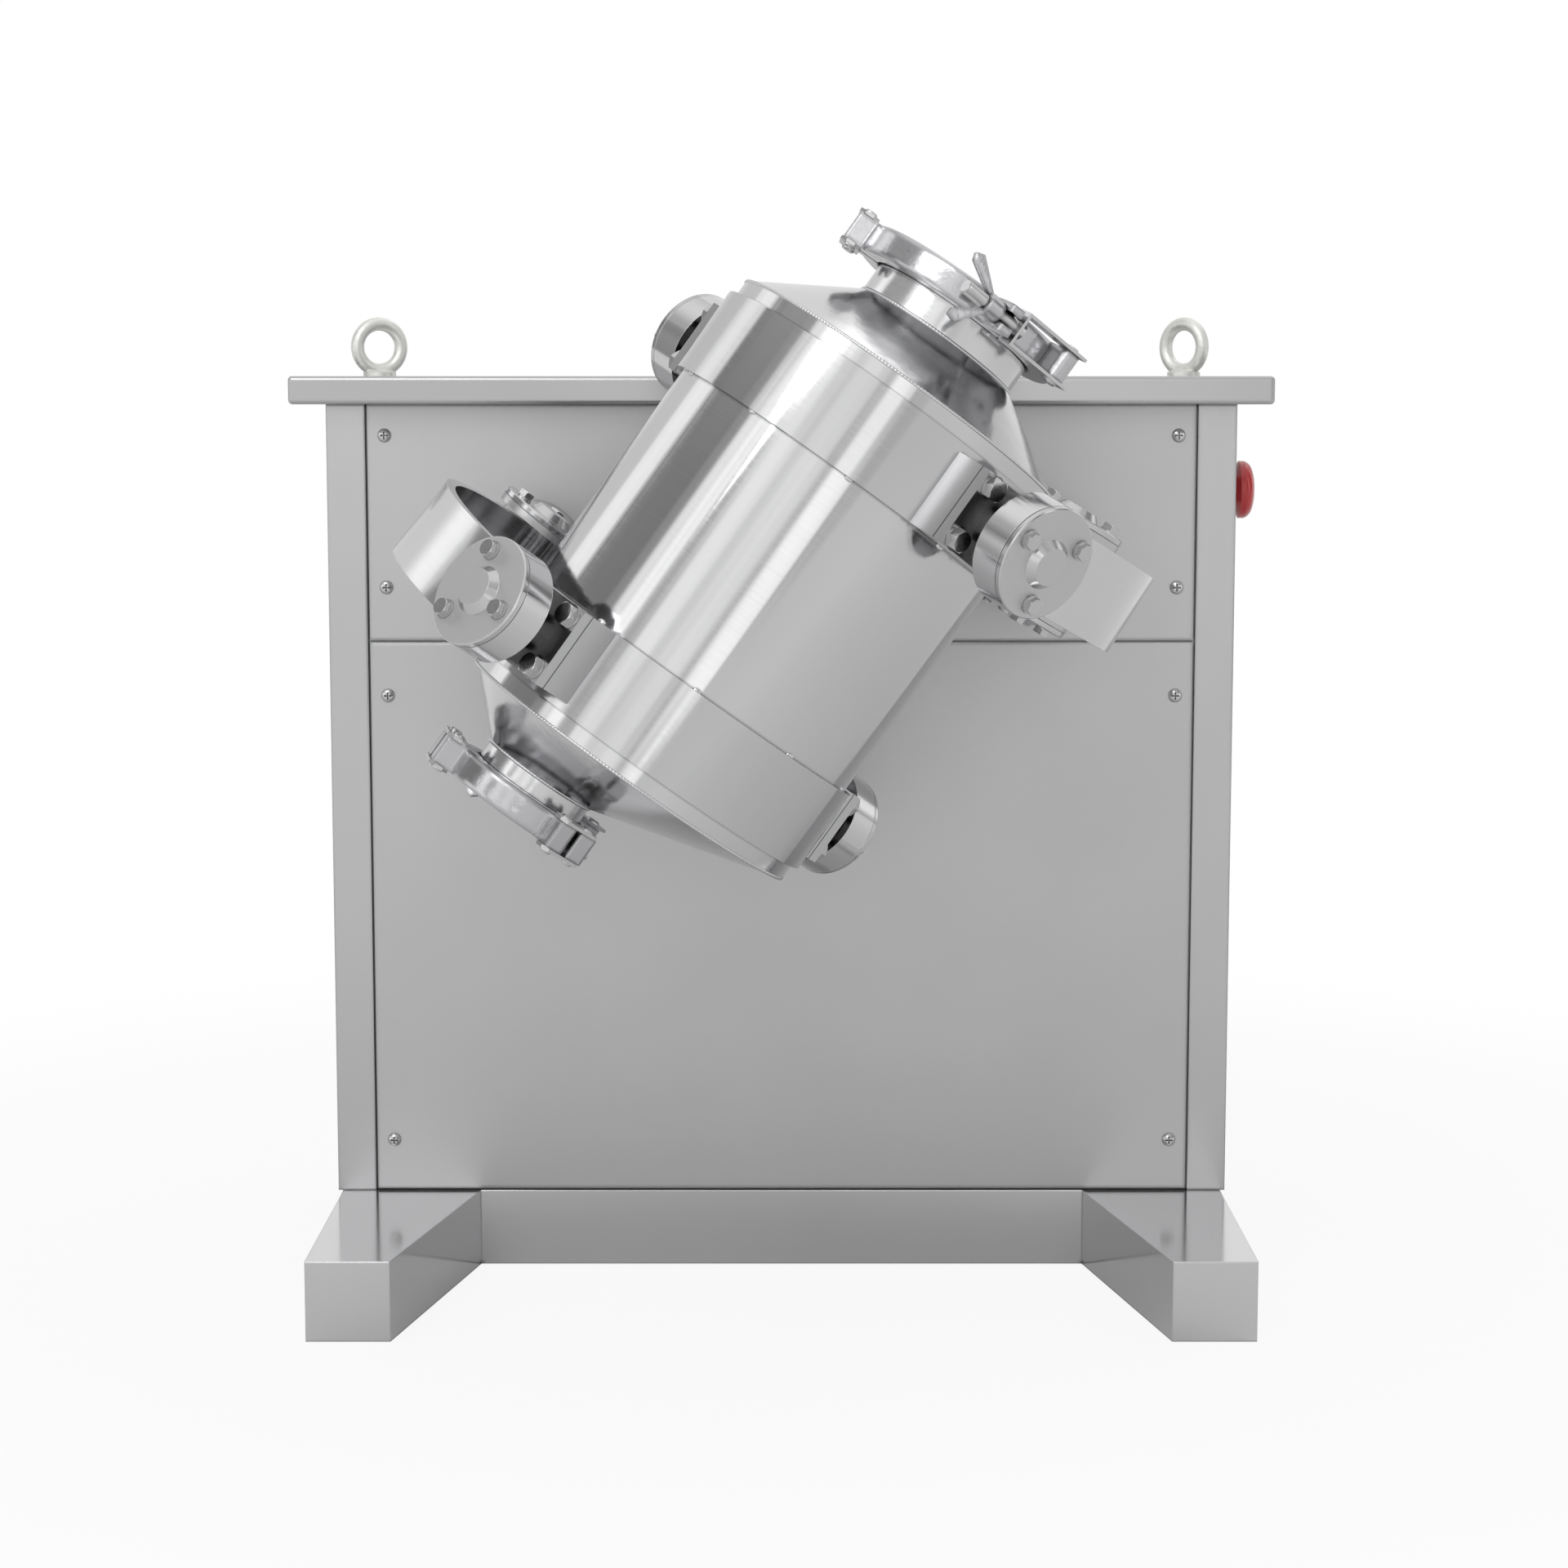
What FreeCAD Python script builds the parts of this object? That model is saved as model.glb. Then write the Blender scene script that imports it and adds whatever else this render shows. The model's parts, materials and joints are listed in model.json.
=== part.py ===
"""Three-dimensional motion mixer: a barrel carried by a six-pivot closed linkage.

Frame: X to the right, Y away from the viewer, Z up, millimetres. The origin lies on the
floor under the middle of the cabinet. The barrel hangs in front of the cabinet, between
a drive fork on the right and a driven fork on the left. Each fork holds a stirrup by a
pin, and each stirrup holds one end of the barrel by a pair of trunnions. All four links
are as long as each other, and neighbouring pivot axes are square to each other.
"""
import FreeCAD, Part
import Sketcher
import math
import os

V = FreeCAD.Vector

SIZES = {
    # Linkage
    "linkage_pitch": 210,
    "drive_angle": -3.6,
    "shaft_height": 528,
    "pin_reach": 133,
    "running_clearance": 0.05,
    "face_clearance": 0.3,
    "bolt_clearance": 0.1,
    # Base
    "base_height": 56,
    "base_wall": 3,
    "base_half_width": 325,
    "leg_reach": 200,
    "leg_inner_front": 267,
    "leg_inner_rear": 223,
    "base_rim": 60,
    # Cabinet
    "cabinet_width": 657,
    "cabinet_depth": 300,
    "cabinet_top": 635,
    "post_width": 28,
    "post_wall": 2,
    "panel_thickness": 2,
    "panel_seam": 1.6,
    "panel_split": 464,
    "strip_width": 30,
    "strip_thickness": 3,
    "screw_inset": 14,
    "panel_screw_upper": 612.6,
    "panel_screw_middle": 503,
    "panel_screw_lower": 424.3,
    "panel_screw_bottom": 94.3,
    "slab_width": 704,
    "slab_thickness": 20,
    "slab_overhang": 25,
    "slab_edge": 3,
    # Panel screw
    "screw_radius": 2.5,
    "screw_head_radius": 4.75,
    "screw_head_height": 3,
    "screw_length": 8,
    "recess_width": 1.1,
    "recess_reach": 2.7,
    "recess_depth": 1.8,
    # Lifting eye
    "eye_position": 307.5,
    "eye_ring_radius": 17.5,
    "eye_bar_radius": 5,
    "eye_centre_height": 22.5,
    "eye_collar_radius": 12.5,
    "eye_collar_height": 7,
    "eye_thread_radius": 5,
    "eye_thread_length": 17,
    "eye_turn_left": 27,
    "eye_turn_right": -45,
    # Emergency stop
    "stop_height": 569,
    "stop_hole_radius": 11,
    "stop_collar_radius": 15,
    "stop_collar_height": 12,
    "stop_stem_radius": 6,
    "stop_stem_inside": 22,
    "stop_travel": 5,
    "stop_head_radius": 22,
    "stop_head_height": 15,
    "stop_body_side": 30,
    "stop_body_length": 42,
    # Shaft support and drive
    "shaft_radius": 17.5,
    "shaft_flange_radius": 38,
    "shaft_flange_height": 6,
    "mounting_plate_thickness": 8,
    "mounting_plate_height": 150,
    "housing_flange_radius": 55,
    "housing_flange_height": 10,
    "housing_radius": 40,
    "housing_length": 58,
    "shaft_bearing_radius": 31,
    "shaft_bearing_width": 14,
    "housing_bolt_circle": 95,
    "housing_bolt_radius": 4,
    "gearbox_width": 120,
    "gearbox_depth": 105,
    "gearbox_height": 130,
    "motor_radius": 58,
    "motor_length": 190,
    "control_box_depth": 90,
    "control_box_length": 180,
    "control_box_height": 260,
    "control_box_bottom": 250,
    "gland_radius": 9,
    "gland_hex": 24,
    "gland_side": 230,
    "gland_height": 120,
    # Forks
    "joint_radius": 36,
    "arm_clearance": 2,
    "arm_thickness": 5,
    "arm_half_width": 30,
    "web_start": 54,
    "web_thickness": 12,
    "hub_radius": 28,
    "fork_bearing_radius": 16,
    "pin_radius": 10,
    "cap_thickness": 4.5,
    "boss_radius": 16,
    "boss_top_radius": 12,
    "boss_height": 5,
    "cap_edge": 0.8,
    "cap_seam": 0.5,
    # Stirrups
    "strap_radius": 181,
    "strap_thickness": 7,
    "strap_width": 55,
    "sleeve_radius": 16,
    "joint_housing_length": 21.5,
    "trunnion_bearing_radius": 21,
    "trunnion_bearing_width": 12,
    "trunnion_bearing_start": 170,
    "open_pivot_radius": 17.6,
    # Cap bolts
    "cap_bolt_circle": 52,
    "drive_cap_turn": 13.5,
    "driven_cap_turn": 30.4,
    "cap_bolt_radius": 3,
    "cap_bolt_hex": 10,
    "cap_bolt_head": 4,
    "cap_washer_radius": 6,
    "cap_washer_thickness": 1.5,
    "cap_bolt_grip": 8,
    # Barrel
    "barrel_radius": 120,
    "barrel_wall": 3,
    "barrel_end_reach": 42.5,
    "band_radius": 124.7,
    "band_outer_reach": 31.3,
    "band_inner_reach": 26,
    "pad_half_width": 43,
    "pad_half_length": 26,
    "pad_face": 140,
    "plate_thickness": 7.5,
    "plate_bolt_across": 34,
    "plate_bolt_along": 18.5,
    "plate_bolt_radius": 4,
    "plate_bolt_hex": 13,
    "plate_bolt_head": 5.3,
    "plate_bolt_grip": 14,
    "plate_washer_radius": 8,
    "plate_washer_thickness": 1.6,
    "trunnion_hub_radius": 26,
    "trunnion_hub_end": 158,
    "trunnion_end": 180,
    # Upper mouth
    "upper_cone_height": 40,
    "upper_neck_radius": 57,
    "upper_neck_length": 27.5,
    "upper_neck_offset": 0,
    "upper_ferrule_radius": 64.5,
    "upper_clamp_radius": 74,
    "upper_clamp_turn": 76,
    "upper_pin_place": 37,
    # Lower mouth
    "lower_cone_height": 36,
    "lower_neck_radius": 38.5,
    "lower_neck_length": 20,
    "lower_neck_offset": 45,
    "lower_ferrule_radius": 45.5,
    "lower_clamp_radius": 52.5,
    "lower_clamp_turn": 108,
    "lower_pin_place": 28,
    # Ferrules, lids and clamps
    "ferrule_rim": 3.2,
    "ferrule_slope": 3.3,
    "gasket_thickness": 2,
    "lid_dish_depth": 3.5,
    "lid_rim_width": 6,
    "clamp_half_height": 9.5,
    "clamp_corner": 3,
    "clamp_gap": 5,
    "clamp_groove_play": 0.15,
    "link_half_length": 17,
    "link_thickness": 2.2,
    "link_pin_place": 10,
    "link_pin_radius": 3,
    "link_rivet_radius": 4.5,
    "link_rivet_height": 1.8,
    "clamp_line_gap": 6,
    "swing_bolt_radius": 4,
    "swing_strap": 2,
    "swing_strap_start": 8,
    "swing_strap_rise": 9,
    "swing_tail": 8,
    "lug_near": 12,
    "lug_far": 22,
    "lug_rise": 10,
    "wing_collar_radius": 7,
    "wing_collar_length": 12,
    "wing_start": 10,
    "wing_reach": 24,
    "wing_sweep": 30,
    "wing_thickness": 3.5,
    "wing_turn": 20,
    "swing_bolt_end": 52,
}


class Size:
    """A length or angle that carries its value and the sheet expression that gives it."""

    def __init__(self, value, text):
        self.value = value
        self.text = text

    def __add__(self, other):
        other = as_size(other)
        return Size(self.value + other.value, f"({self.text} + {other.text})")

    def __sub__(self, other):
        other = as_size(other)
        return Size(self.value - other.value, f"({self.text} - {other.text})")

    def __mul__(self, other):
        other = as_size(other)
        return Size(self.value * other.value, f"({self.text} * {other.text})")

    def __truediv__(self, other):
        other = as_size(other)
        return Size(self.value / other.value, f"({self.text} / {other.text})")

    def __neg__(self):
        return as_size(0) - self

    def __radd__(self, other):
        return as_size(other) + self

    def __rsub__(self, other):
        return as_size(other) - self

    def __rmul__(self, other):
        return as_size(other) * self


def as_size(number):
    return number if isinstance(number, Size) else Size(number, repr(number))


class SizeSheet:
    """The spreadsheet of driving sizes, read as attributes."""

    def __init__(self, document, sizes):
        self.sheet = document.addObject("Spreadsheet::Sheet", "Sizes")
        for row, (name, number) in enumerate(sizes.items(), start=1):
            self.sheet.set(f"A{row}", name)
            self.sheet.set(f"B{row}", str(number))
            self.sheet.setAlias(f"B{row}", name)
        document.recompute()

    def __getattr__(self, name):
        return Size(float(self.sheet.get(name)), f"Sizes.{name}")


doc = FreeCAD.newDocument("motion_mixer")
S = SizeSheet(doc, SIZES)
SUBPARTS = []

UPRIGHT = FreeCAD.Rotation()
ALONG_X = FreeCAD.Rotation(V(0, 1, 0), 90)
ALONG_Y = FreeCAD.Rotation(V(1, 0, 0), -90)
AGAINST_X = FreeCAD.Rotation(V(0, 1, 0), -90)
AGAINST_Y = FreeCAD.Rotation(V(1, 0, 0), 90)
AGAINST_Z = FreeCAD.Rotation(V(1, 0, 0), 180)


def bind(item, **sizes):
    for name, size in sizes.items():
        item.setExpression(name, as_size(size).text)


def put(item, at=(0, 0, 0), turn=UPRIGHT):
    """Places an item at bound coordinates, turned by a fixed rotation."""
    item.Placement = FreeCAD.Placement(V(*[as_size(c).value for c in at]), turn)
    for axis, place in zip("xyz", at):
        if isinstance(place, Size):
            item.setExpression(f"Placement.Base.{axis}", place.text)
    return item


def box(name, low, high):
    """A box between two corners."""
    item = doc.addObject("Part::Box", name)
    spans = [as_size(b) - as_size(a) for a, b in zip(low, high)]
    bind(item, Length=spans[0], Width=spans[1], Height=spans[2])
    return put(item, low)


def cylinder(name, radius, length, at=(0, 0, 0), turn=UPRIGHT):
    item = doc.addObject("Part::Cylinder", name)
    bind(item, Radius=radius, Height=length)
    return put(item, at, turn)


def cone(name, start, end, length, at=(0, 0, 0), turn=UPRIGHT):
    item = doc.addObject("Part::Cone", name)
    bind(item, Radius1=start, Radius2=end, Height=length)
    return put(item, at, turn)


def tube(name, outer, inner, length, at=(0, 0, 0), turn=UPRIGHT):
    blank = cylinder(name + "_blank", outer, length)
    bore = cylinder(name + "_bore", inner, length)
    return put(cut(name, blank, bore), at, turn)


def hexagon(name, across, height):
    """A hexagonal prism by its width across flats."""
    item = doc.addObject("Part::Prism", name)
    item.Polygon = 6
    bind(item, Circumradius=across / math.sqrt(3), Height=height)
    return item


def fuse(name, *items):
    item = doc.addObject("Part::MultiFuse", name)
    item.Shapes = list(items)
    return item


def group(name, *items):
    item = doc.addObject("Part::Compound", name)
    item.Links = list(items)
    return item


def cut(name, base, *tools):
    item = doc.addObject("Part::Cut", name)
    item.Base = base
    item.Tool = tools[0] if len(tools) == 1 else fuse(name + "_tools", *tools)
    return item


def common(name, base, tool):
    item = doc.addObject("Part::Common", name)
    item.Base = base
    item.Tool = tool
    return item


def copies(name, master, places):
    """One group of identical pieces, each at its own placement."""
    links = []
    for index, place in enumerate(places, start=1):
        link = doc.addObject("App::Link", f"{name}_{index}")
        link.LinkedObject = master
        link.LinkTransform = True
        link.Placement = place
        links.append(link)
    return group(name, *links)


def origin_plane(body, role):
    return next(item for item in body.Origin.OriginFeatures if item.Role == role)


def draw(body, role, corners, holes=()):
    """A closed outline in a sketch on one of the body's own planes.

    A corner is (x, y), or (x, y, radius, side) where an arc of that radius leads to the
    next corner, bulging to the right of the way there for side 1 and to the left for -1.
    A hole is (x, y, radius).
    """
    sketch = body.newObject("Sketcher::SketchObject", body.Name + "_sketch")
    sketch.AttachmentSupport = [(origin_plane(body, role), "")]
    sketch.MapMode = "FlatFace"
    points = [V(as_size(c[0]).value, as_size(c[1]).value, 0) for c in corners]
    first_ends = []
    for index, corner in enumerate(corners):
        start, end = points[index], points[(index + 1) % len(points)]
        if len(corner) == 2:
            sketch.addGeometry(Part.LineSegment(start, end), False)
            first_ends.append(1)
        else:
            edge = arc_between(start, end, as_size(corner[2]).value, corner[3])
            sketch.addGeometry(edge, False)
            first_ends.append(1 if corner[3] > 0 else 2)
    for index, corner in enumerate(corners):
        after = (index + 1) % len(corners)
        last_end = 3 - first_ends[index]
        sketch.addConstraint(
            Sketcher.Constraint("Coincident", index, last_end, after, first_ends[after]))
        pin_point(sketch, index, first_ends[index], corner)
        if len(corner) > 2:
            hold(sketch, Sketcher.Constraint("Radius", index, as_size(corner[2]).value), corner[2])
    for hole in holes:
        centre = V(as_size(hole[0]).value, as_size(hole[1]).value, 0)
        index = sketch.addGeometry(Part.Circle(centre, V(0, 0, 1), as_size(hole[2]).value), False)
        pin_point(sketch, index, 3, hole)
        hold(sketch, Sketcher.Constraint("Radius", index, as_size(hole[2]).value), hole[2])
    return sketch


def arc_between(start, end, radius, side):
    """The short arc from start to end that bulges to the given side."""
    along = end - start
    middle = (start + end) * 0.5
    right = V(along.y, -along.x, 0).normalize()
    depth = math.sqrt(max(radius ** 2 - (along.Length / 2) ** 2, 0))
    centre = middle - right * (side * depth)
    crown = centre + right * (side * radius)
    return Part.Arc(start, crown, end)


def pin_point(sketch, index, end, corner):
    for kind, place in (("DistanceX", corner[0]), ("DistanceY", corner[1])):
        constraint = Sketcher.Constraint(kind, index, end, as_size(place).value)
        hold(sketch, constraint, place)


def hold(sketch, constraint, size):
    number = sketch.addConstraint(constraint)
    sketch.setExpression(f"Constraints[{number}]", as_size(size).text)


def revolved(name, corners, at=(0, 0, 0), turn=UPRIGHT):
    """A body turned about Z from an outline of (radius, height) corners."""
    body = doc.addObject("PartDesign::Body", name)
    turned = body.newObject("PartDesign::Revolution", name + "_turned")
    turned.Profile = draw(body, "XZ_Plane", corners)
    turned.ReferenceAxis = (turned.Profile[0], ["V_Axis"])
    turned.Angle = 360
    body.Tip = turned
    return put(body, at, turn)


def padded(name, role, corners, thickness, holes=(), at=(0, 0, 0), turn=UPRIGHT, middle=False):
    """A body of even thickness from an outline on one of the origin planes."""
    body = doc.addObject("PartDesign::Body", name)
    pad = body.newObject("PartDesign::Pad", name + "_pad")
    pad.Profile = draw(body, role, corners, holes)
    bind(pad, Length=thickness)
    pad.Midplane = middle
    body.Tip = pad
    return put(body, at, turn)


def rectangle(low_x, low_y, high_x, high_y):
    return [(low_x, low_y), (high_x, low_y), (high_x, high_y), (low_x, high_y)]


def subpart(name, item, place=None):
    """Gives a finished sub-part its label and placement."""
    item.Label = name
    if place is not None:
        item.Placement = place
    SUBPARTS.append(item)
    return item


def shifted(place, x=0, y=0, z=0, turn=UPRIGHT):
    """A placement moved and turned in its own axes."""
    offset = V(as_size(x).value, as_size(y).value, as_size(z).value)
    return place * FreeCAD.Placement(offset, turn)


def turned_about_z(angle):
    return FreeCAD.Placement(V(0, 0, 0), FreeCAD.Rotation(V(0, 0, 1), as_size(angle).value))


class Linkage:
    """The pose of the closed six-pivot linkage for the given drive angle.

    Each fork's pin axis turns in the plane square to its shaft. The lengths of the links
    equal the pitch, the shafts lie the square root of 3 pitches apart, and neighbouring
    axes are square to each other, which fixes every other angle.
    """

    def __init__(self):
        pitch = S.linkage_pitch.value
        spread = math.sqrt(3) / 2
        home = math.atan(math.sqrt(2))
        front = -(S.cabinet_depth / 2 + S.pin_reach).value
        drive_tilt = home - math.radians(S.drive_angle.value)
        drive_swing = math.acos(spread * math.sin(drive_tilt))
        driven_swing = math.asin(1 / (2 * math.sin(drive_swing)))
        driven_tilt = math.asin(math.cos(driven_swing) / spread)
        forward = V(0, -1, 0)
        self.drive_pin = V(spread * pitch, front, S.shaft_height.value)
        self.driven_pin = V(-spread * pitch, front, S.shaft_height.value)
        self.drive_across, self.drive_axis = self.fork_axes(drive_tilt)
        self.driven_across, self.driven_axis = self.fork_axes(driven_tilt)
        self.drive_arm = (forward * math.sin(drive_swing)
                          - self.drive_across * math.cos(drive_swing))
        self.driven_arm = (forward * math.sin(driven_swing)
                           + self.driven_across * math.cos(driven_swing))
        self.drive_trunnion = self.drive_axis.cross(self.drive_arm)
        self.driven_trunnion = self.driven_arm.cross(self.driven_axis)
        upper = self.drive_pin + self.drive_arm * pitch
        lower = self.driven_pin + self.driven_arm * pitch
        self.barrel_centre = (upper + lower) * 0.5

    @staticmethod
    def fork_axes(tilt):
        across = V(math.sin(tilt), 0, -math.cos(tilt))
        return across, V(math.cos(tilt), 0, math.sin(tilt))

    def drive_fork(self):
        return frame(self.drive_pin, self.drive_across, self.drive_axis)

    def driven_fork(self):
        return frame(self.driven_pin, self.driven_across, self.driven_axis)

    def drive_stirrup(self):
        return frame(self.drive_pin, self.drive_arm, self.drive_axis)

    def driven_stirrup(self):
        return frame(self.driven_pin, self.driven_arm, self.driven_axis)

    def barrel(self):
        axis = self.driven_trunnion.cross(self.drive_trunnion)
        return frame(self.barrel_centre, self.driven_trunnion, axis)


def frame(origin, x_axis, z_axis):
    """A placement with the given X and Z axes."""
    return FreeCAD.Placement(origin, FreeCAD.Rotation(x_axis, z_axis.cross(x_axis), z_axis, "ZXY"))


def hex_bolt(name, radius, across, head, shank):
    """A hexagon bolt: head above the XY plane, shank below it."""
    crown = cone(name + "_crown", across / 2 + head * math.sqrt(3), across / 2, head)
    head_item = common(name + "_head", hexagon(name + "_hex", across, head), crown)
    shank_item = cylinder(name + "_shank", radius, shank, (0, 0, -shank))
    return fuse(name, head_item, shank_item)


def bolt_and_washer(name, radius, across, head, grip, washer_radius, washer_thickness):
    """A bolt whose washer rests on the XY plane."""
    bolt = put(hex_bolt(name + "_bolt", radius, across, head, grip + washer_thickness),
               (0, 0, washer_thickness))
    washer = tube(name + "_washer", washer_radius, radius + S.bolt_clearance, washer_thickness)
    return group(name, bolt, washer)


def cap_bolt_places(height):
    """Three bolts on the cap's bolt circle, their washers at the given height."""
    places = []
    for angle in (90, 210, 330):
        turn = turned_about_z(angle)
        places.append(shifted(turn, x=S.cap_bolt_circle / 2, z=height))
    return places


def joint_cap(name):
    """A bearing cap: a disc with a chamfered boss, its seat on the XY plane."""
    outline = [
        (0, 0), (S.joint_radius - S.cap_seam, 0), (S.joint_radius, S.cap_seam),
        (S.joint_radius, S.cap_thickness - S.cap_edge),
        (S.joint_radius - S.cap_edge, S.cap_thickness), (S.boss_radius, S.cap_thickness),
        (S.boss_top_radius, S.cap_thickness + S.boss_height),
        (0, S.cap_thickness + S.boss_height),
    ]
    disc = revolved(name + "_disc", outline)
    holes = []
    for index, place in enumerate(cap_bolt_places(0)):
        hole = cylinder(f"{name}_hole_{index}", S.cap_bolt_radius + S.bolt_clearance, S.cap_thickness)
        hole.Placement = place
        holes.append(hole)
    return cut(name, disc, *holes)


def base_frame():
    """A closed sheet plinth, U-shaped in front, open to the cabinet above."""
    rear = S.cabinet_depth / 2
    front = -rear
    toe = front - S.leg_reach
    wall = S.base_wall
    outline = [
        (-S.base_half_width, toe), (-S.leg_inner_front, toe), (-S.leg_inner_rear, front),
        (S.leg_inner_rear, front), (S.leg_inner_front, toe), (S.base_half_width, toe),
        (S.base_half_width, rear), (-S.base_half_width, rear),
    ]
    hollow = [
        (wall - S.base_half_width, toe + wall), (-S.leg_inner_front - wall, toe + wall),
        (-S.leg_inner_rear - wall, front + wall), (S.leg_inner_rear + wall, front + wall),
        (S.leg_inner_front + wall, toe + wall), (S.base_half_width - wall, toe + wall),
        (S.base_half_width - wall, rear - wall), (wall - S.base_half_width, rear - wall),
    ]
    block = padded("base_block", "XY_Plane", outline, S.base_height)
    inside = padded("base_inside", "XY_Plane", hollow, S.base_height - wall * 2, at=(0, 0, wall))
    mouth = box("base_mouth",
                (S.base_rim - S.base_half_width, front + S.base_rim, S.base_height / 2),
                (S.base_half_width - S.base_rim, rear - S.base_rim, S.base_height + wall))
    return subpart("base_frame", cut("base_cut", block, inside, mouth))


def cabinet_frame():
    """Four tube posts joined by rails and by the strips that carry the panels."""
    half = S.cabinet_width / 2
    rear = S.cabinet_depth / 2
    pieces = []
    for side in (-1, 1):
        for end in (-1, 1):
            x = half - S.post_width if side > 0 else -half
            y = rear - S.post_width if end > 0 else -rear
            name = f"post_{side}_{end}".replace("-", "n")
            post = box(name, (x, y, S.base_height),
                       (x + S.post_width, y + S.post_width, S.cabinet_top))
            inner = box(name + "_inner",
                        (x + S.post_wall, y + S.post_wall, S.base_height),
                        (x + S.post_width - S.post_wall, y + S.post_width - S.post_wall,
                         S.cabinet_top - S.post_wall))
            pieces.append(cut(name + "_tube", post, inner))
    pieces += front_strips("front_strips", -1) + front_strips("rear_strips", 1)
    pieces += side_rails()
    body = fuse("frame_body", *pieces)
    holes = [cylinder(f"frame_hole_{i}", S.screw_radius, S.strip_thickness + S.post_width,
                      (x, -rear, z), ALONG_Y)
             for i, (x, z) in enumerate(front_screw_places())]
    return subpart("cabinet_frame", cut("frame_cut", body, *holes))


def front_strips(name, end):
    """Flat strips behind the panels on the front (end -1) or the rear (end 1)."""
    inner = S.cabinet_width / 2 - S.post_width
    face = S.cabinet_depth / 2 - S.panel_thickness
    near, far = (face - S.strip_thickness, face) if end > 0 else (-face, S.strip_thickness - face)
    bottom, top = S.base_height, S.cabinet_top
    strips = [
        box(name + "_left", (-inner, near, bottom), (S.strip_width - inner, far, top)),
        box(name + "_right", (inner - S.strip_width, near, bottom), (inner, far, top)),
        box(name + "_bottom", (-inner, near, bottom), (inner, far, bottom + S.strip_width)),
        box(name + "_top", (-inner, near, top - S.strip_width), (inner, far, top)),
    ]
    if end < 0:
        strips.append(box(name + "_middle", (-inner, near, S.panel_split - S.strip_width / 2),
                          (inner, far, S.panel_split + S.strip_width / 2)))
    return strips


def side_rails():
    """Rails from front post to rear post, behind the side panels."""
    half = S.cabinet_width / 2
    reach = S.cabinet_depth / 2 - S.post_width
    rails = []
    for side in (-1, 1):
        face = half - S.panel_thickness
        low, high = (face - S.strip_thickness, face) if side > 0 else (-face, S.strip_thickness - face)
        for name, z in (("low", S.base_height), ("high", S.cabinet_top - S.strip_width)):
            rails.append(box(f"rail_{name}_{side}".replace("-", "n"), (low, -reach, z),
                             (high, reach, z + S.strip_width)))
    return rails


def front_screw_places():
    """X and Z of the eight screws of the two front panels."""
    side = S.cabinet_width / 2 - S.post_width - S.screw_inset
    heights = (S.panel_screw_upper, S.panel_screw_middle, S.panel_screw_lower, S.panel_screw_bottom)
    return [(x, z) for x in (-side, side) for z in heights]


def front_panels():
    """The upper panel with the two shaft holes, and the lower panel."""
    half = S.cabinet_width / 2 - S.post_width - S.panel_seam
    split_low = S.panel_split - S.panel_seam / 2
    split_high = S.panel_split + S.panel_seam / 2
    hole = S.screw_radius + S.bolt_clearance
    screws = [(x, z, hole) for x, z in front_screw_places()]
    shaft_side = S.linkage_pitch * (math.sqrt(3) / 2)
    shaft_hole = S.shaft_radius + S.face_clearance
    shafts = [(x, S.shaft_height, shaft_hole) for x in (-shaft_side, shaft_side)]
    upper = [h for h in screws if h[1].value > S.panel_split.value]
    lower = [h for h in screws if h[1].value < S.panel_split.value]
    face = (0, S.panel_thickness - S.cabinet_depth / 2, 0)
    subpart("front_panel_upper", padded(
        "upper_panel", "XZ_Plane", rectangle(-half, split_high, half, S.cabinet_top),
        S.panel_thickness, upper + shafts, face))
    subpart("front_panel_lower", padded(
        "lower_panel", "XZ_Plane",
        rectangle(-half, S.base_height + S.panel_seam, half, split_low),
        S.panel_thickness, lower, face))


def other_panels():
    """The rear panel and the two side panels."""
    half = S.cabinet_width / 2 - S.post_width - S.panel_seam
    rear = S.cabinet_depth / 2
    bottom = S.base_height + S.panel_seam
    gland = (S.gland_side, S.gland_height, S.gland_radius)
    subpart("rear_panel", padded("back_panel", "XZ_Plane",
                                 rectangle(-half, bottom, half, S.cabinet_top),
                                 S.panel_thickness, [gland], (0, rear, 0)))
    reach = rear - S.post_width - S.panel_seam
    side = S.cabinet_width / 2
    outline = rectangle(-reach, bottom, reach, S.cabinet_top)
    subpart("side_panel_left", padded("left_panel", "YZ_Plane", outline, S.panel_thickness,
                                      at=(-side, 0, 0)))
    subpart("side_panel_right", padded("right_panel", "YZ_Plane", outline, S.panel_thickness,
                                       [(0, S.stop_height, S.stop_hole_radius)],
                                       (side - S.panel_thickness, 0, 0)))


def panel_screws():
    """Cross-recess pan screws, heads on the front face."""
    dome = revolved("screw_head", [
        (0, 0), (S.screw_head_radius, 0), (S.screw_head_radius, S.screw_head_height * 0.35),
        (S.screw_head_radius * 0.8, S.screw_head_height * 0.75),
        (S.screw_head_radius * 0.5, S.screw_head_height), (0, S.screw_head_height)])
    shank = cylinder("screw_shank", S.screw_radius, S.screw_length, (0, 0, -S.screw_length))
    low, high = S.screw_head_height - S.recess_depth, S.screw_head_height
    reach, half = S.recess_reach, S.recess_width / 2
    slots = [box("recess_long", (-reach, -half, low), (reach, half, high)),
             box("recess_cross", (-half, -reach, low), (half, reach, high))]
    master = cut("panel_screw", fuse("screw_blank", dome, shank), *slots)
    front = -(S.cabinet_depth / 2).value
    places = [FreeCAD.Placement(V(x.value, front, z.value), AGAINST_Y)
              for x, z in front_screw_places()]
    subpart("panel_screws", copies("panel_screw_set", master, places))


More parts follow.
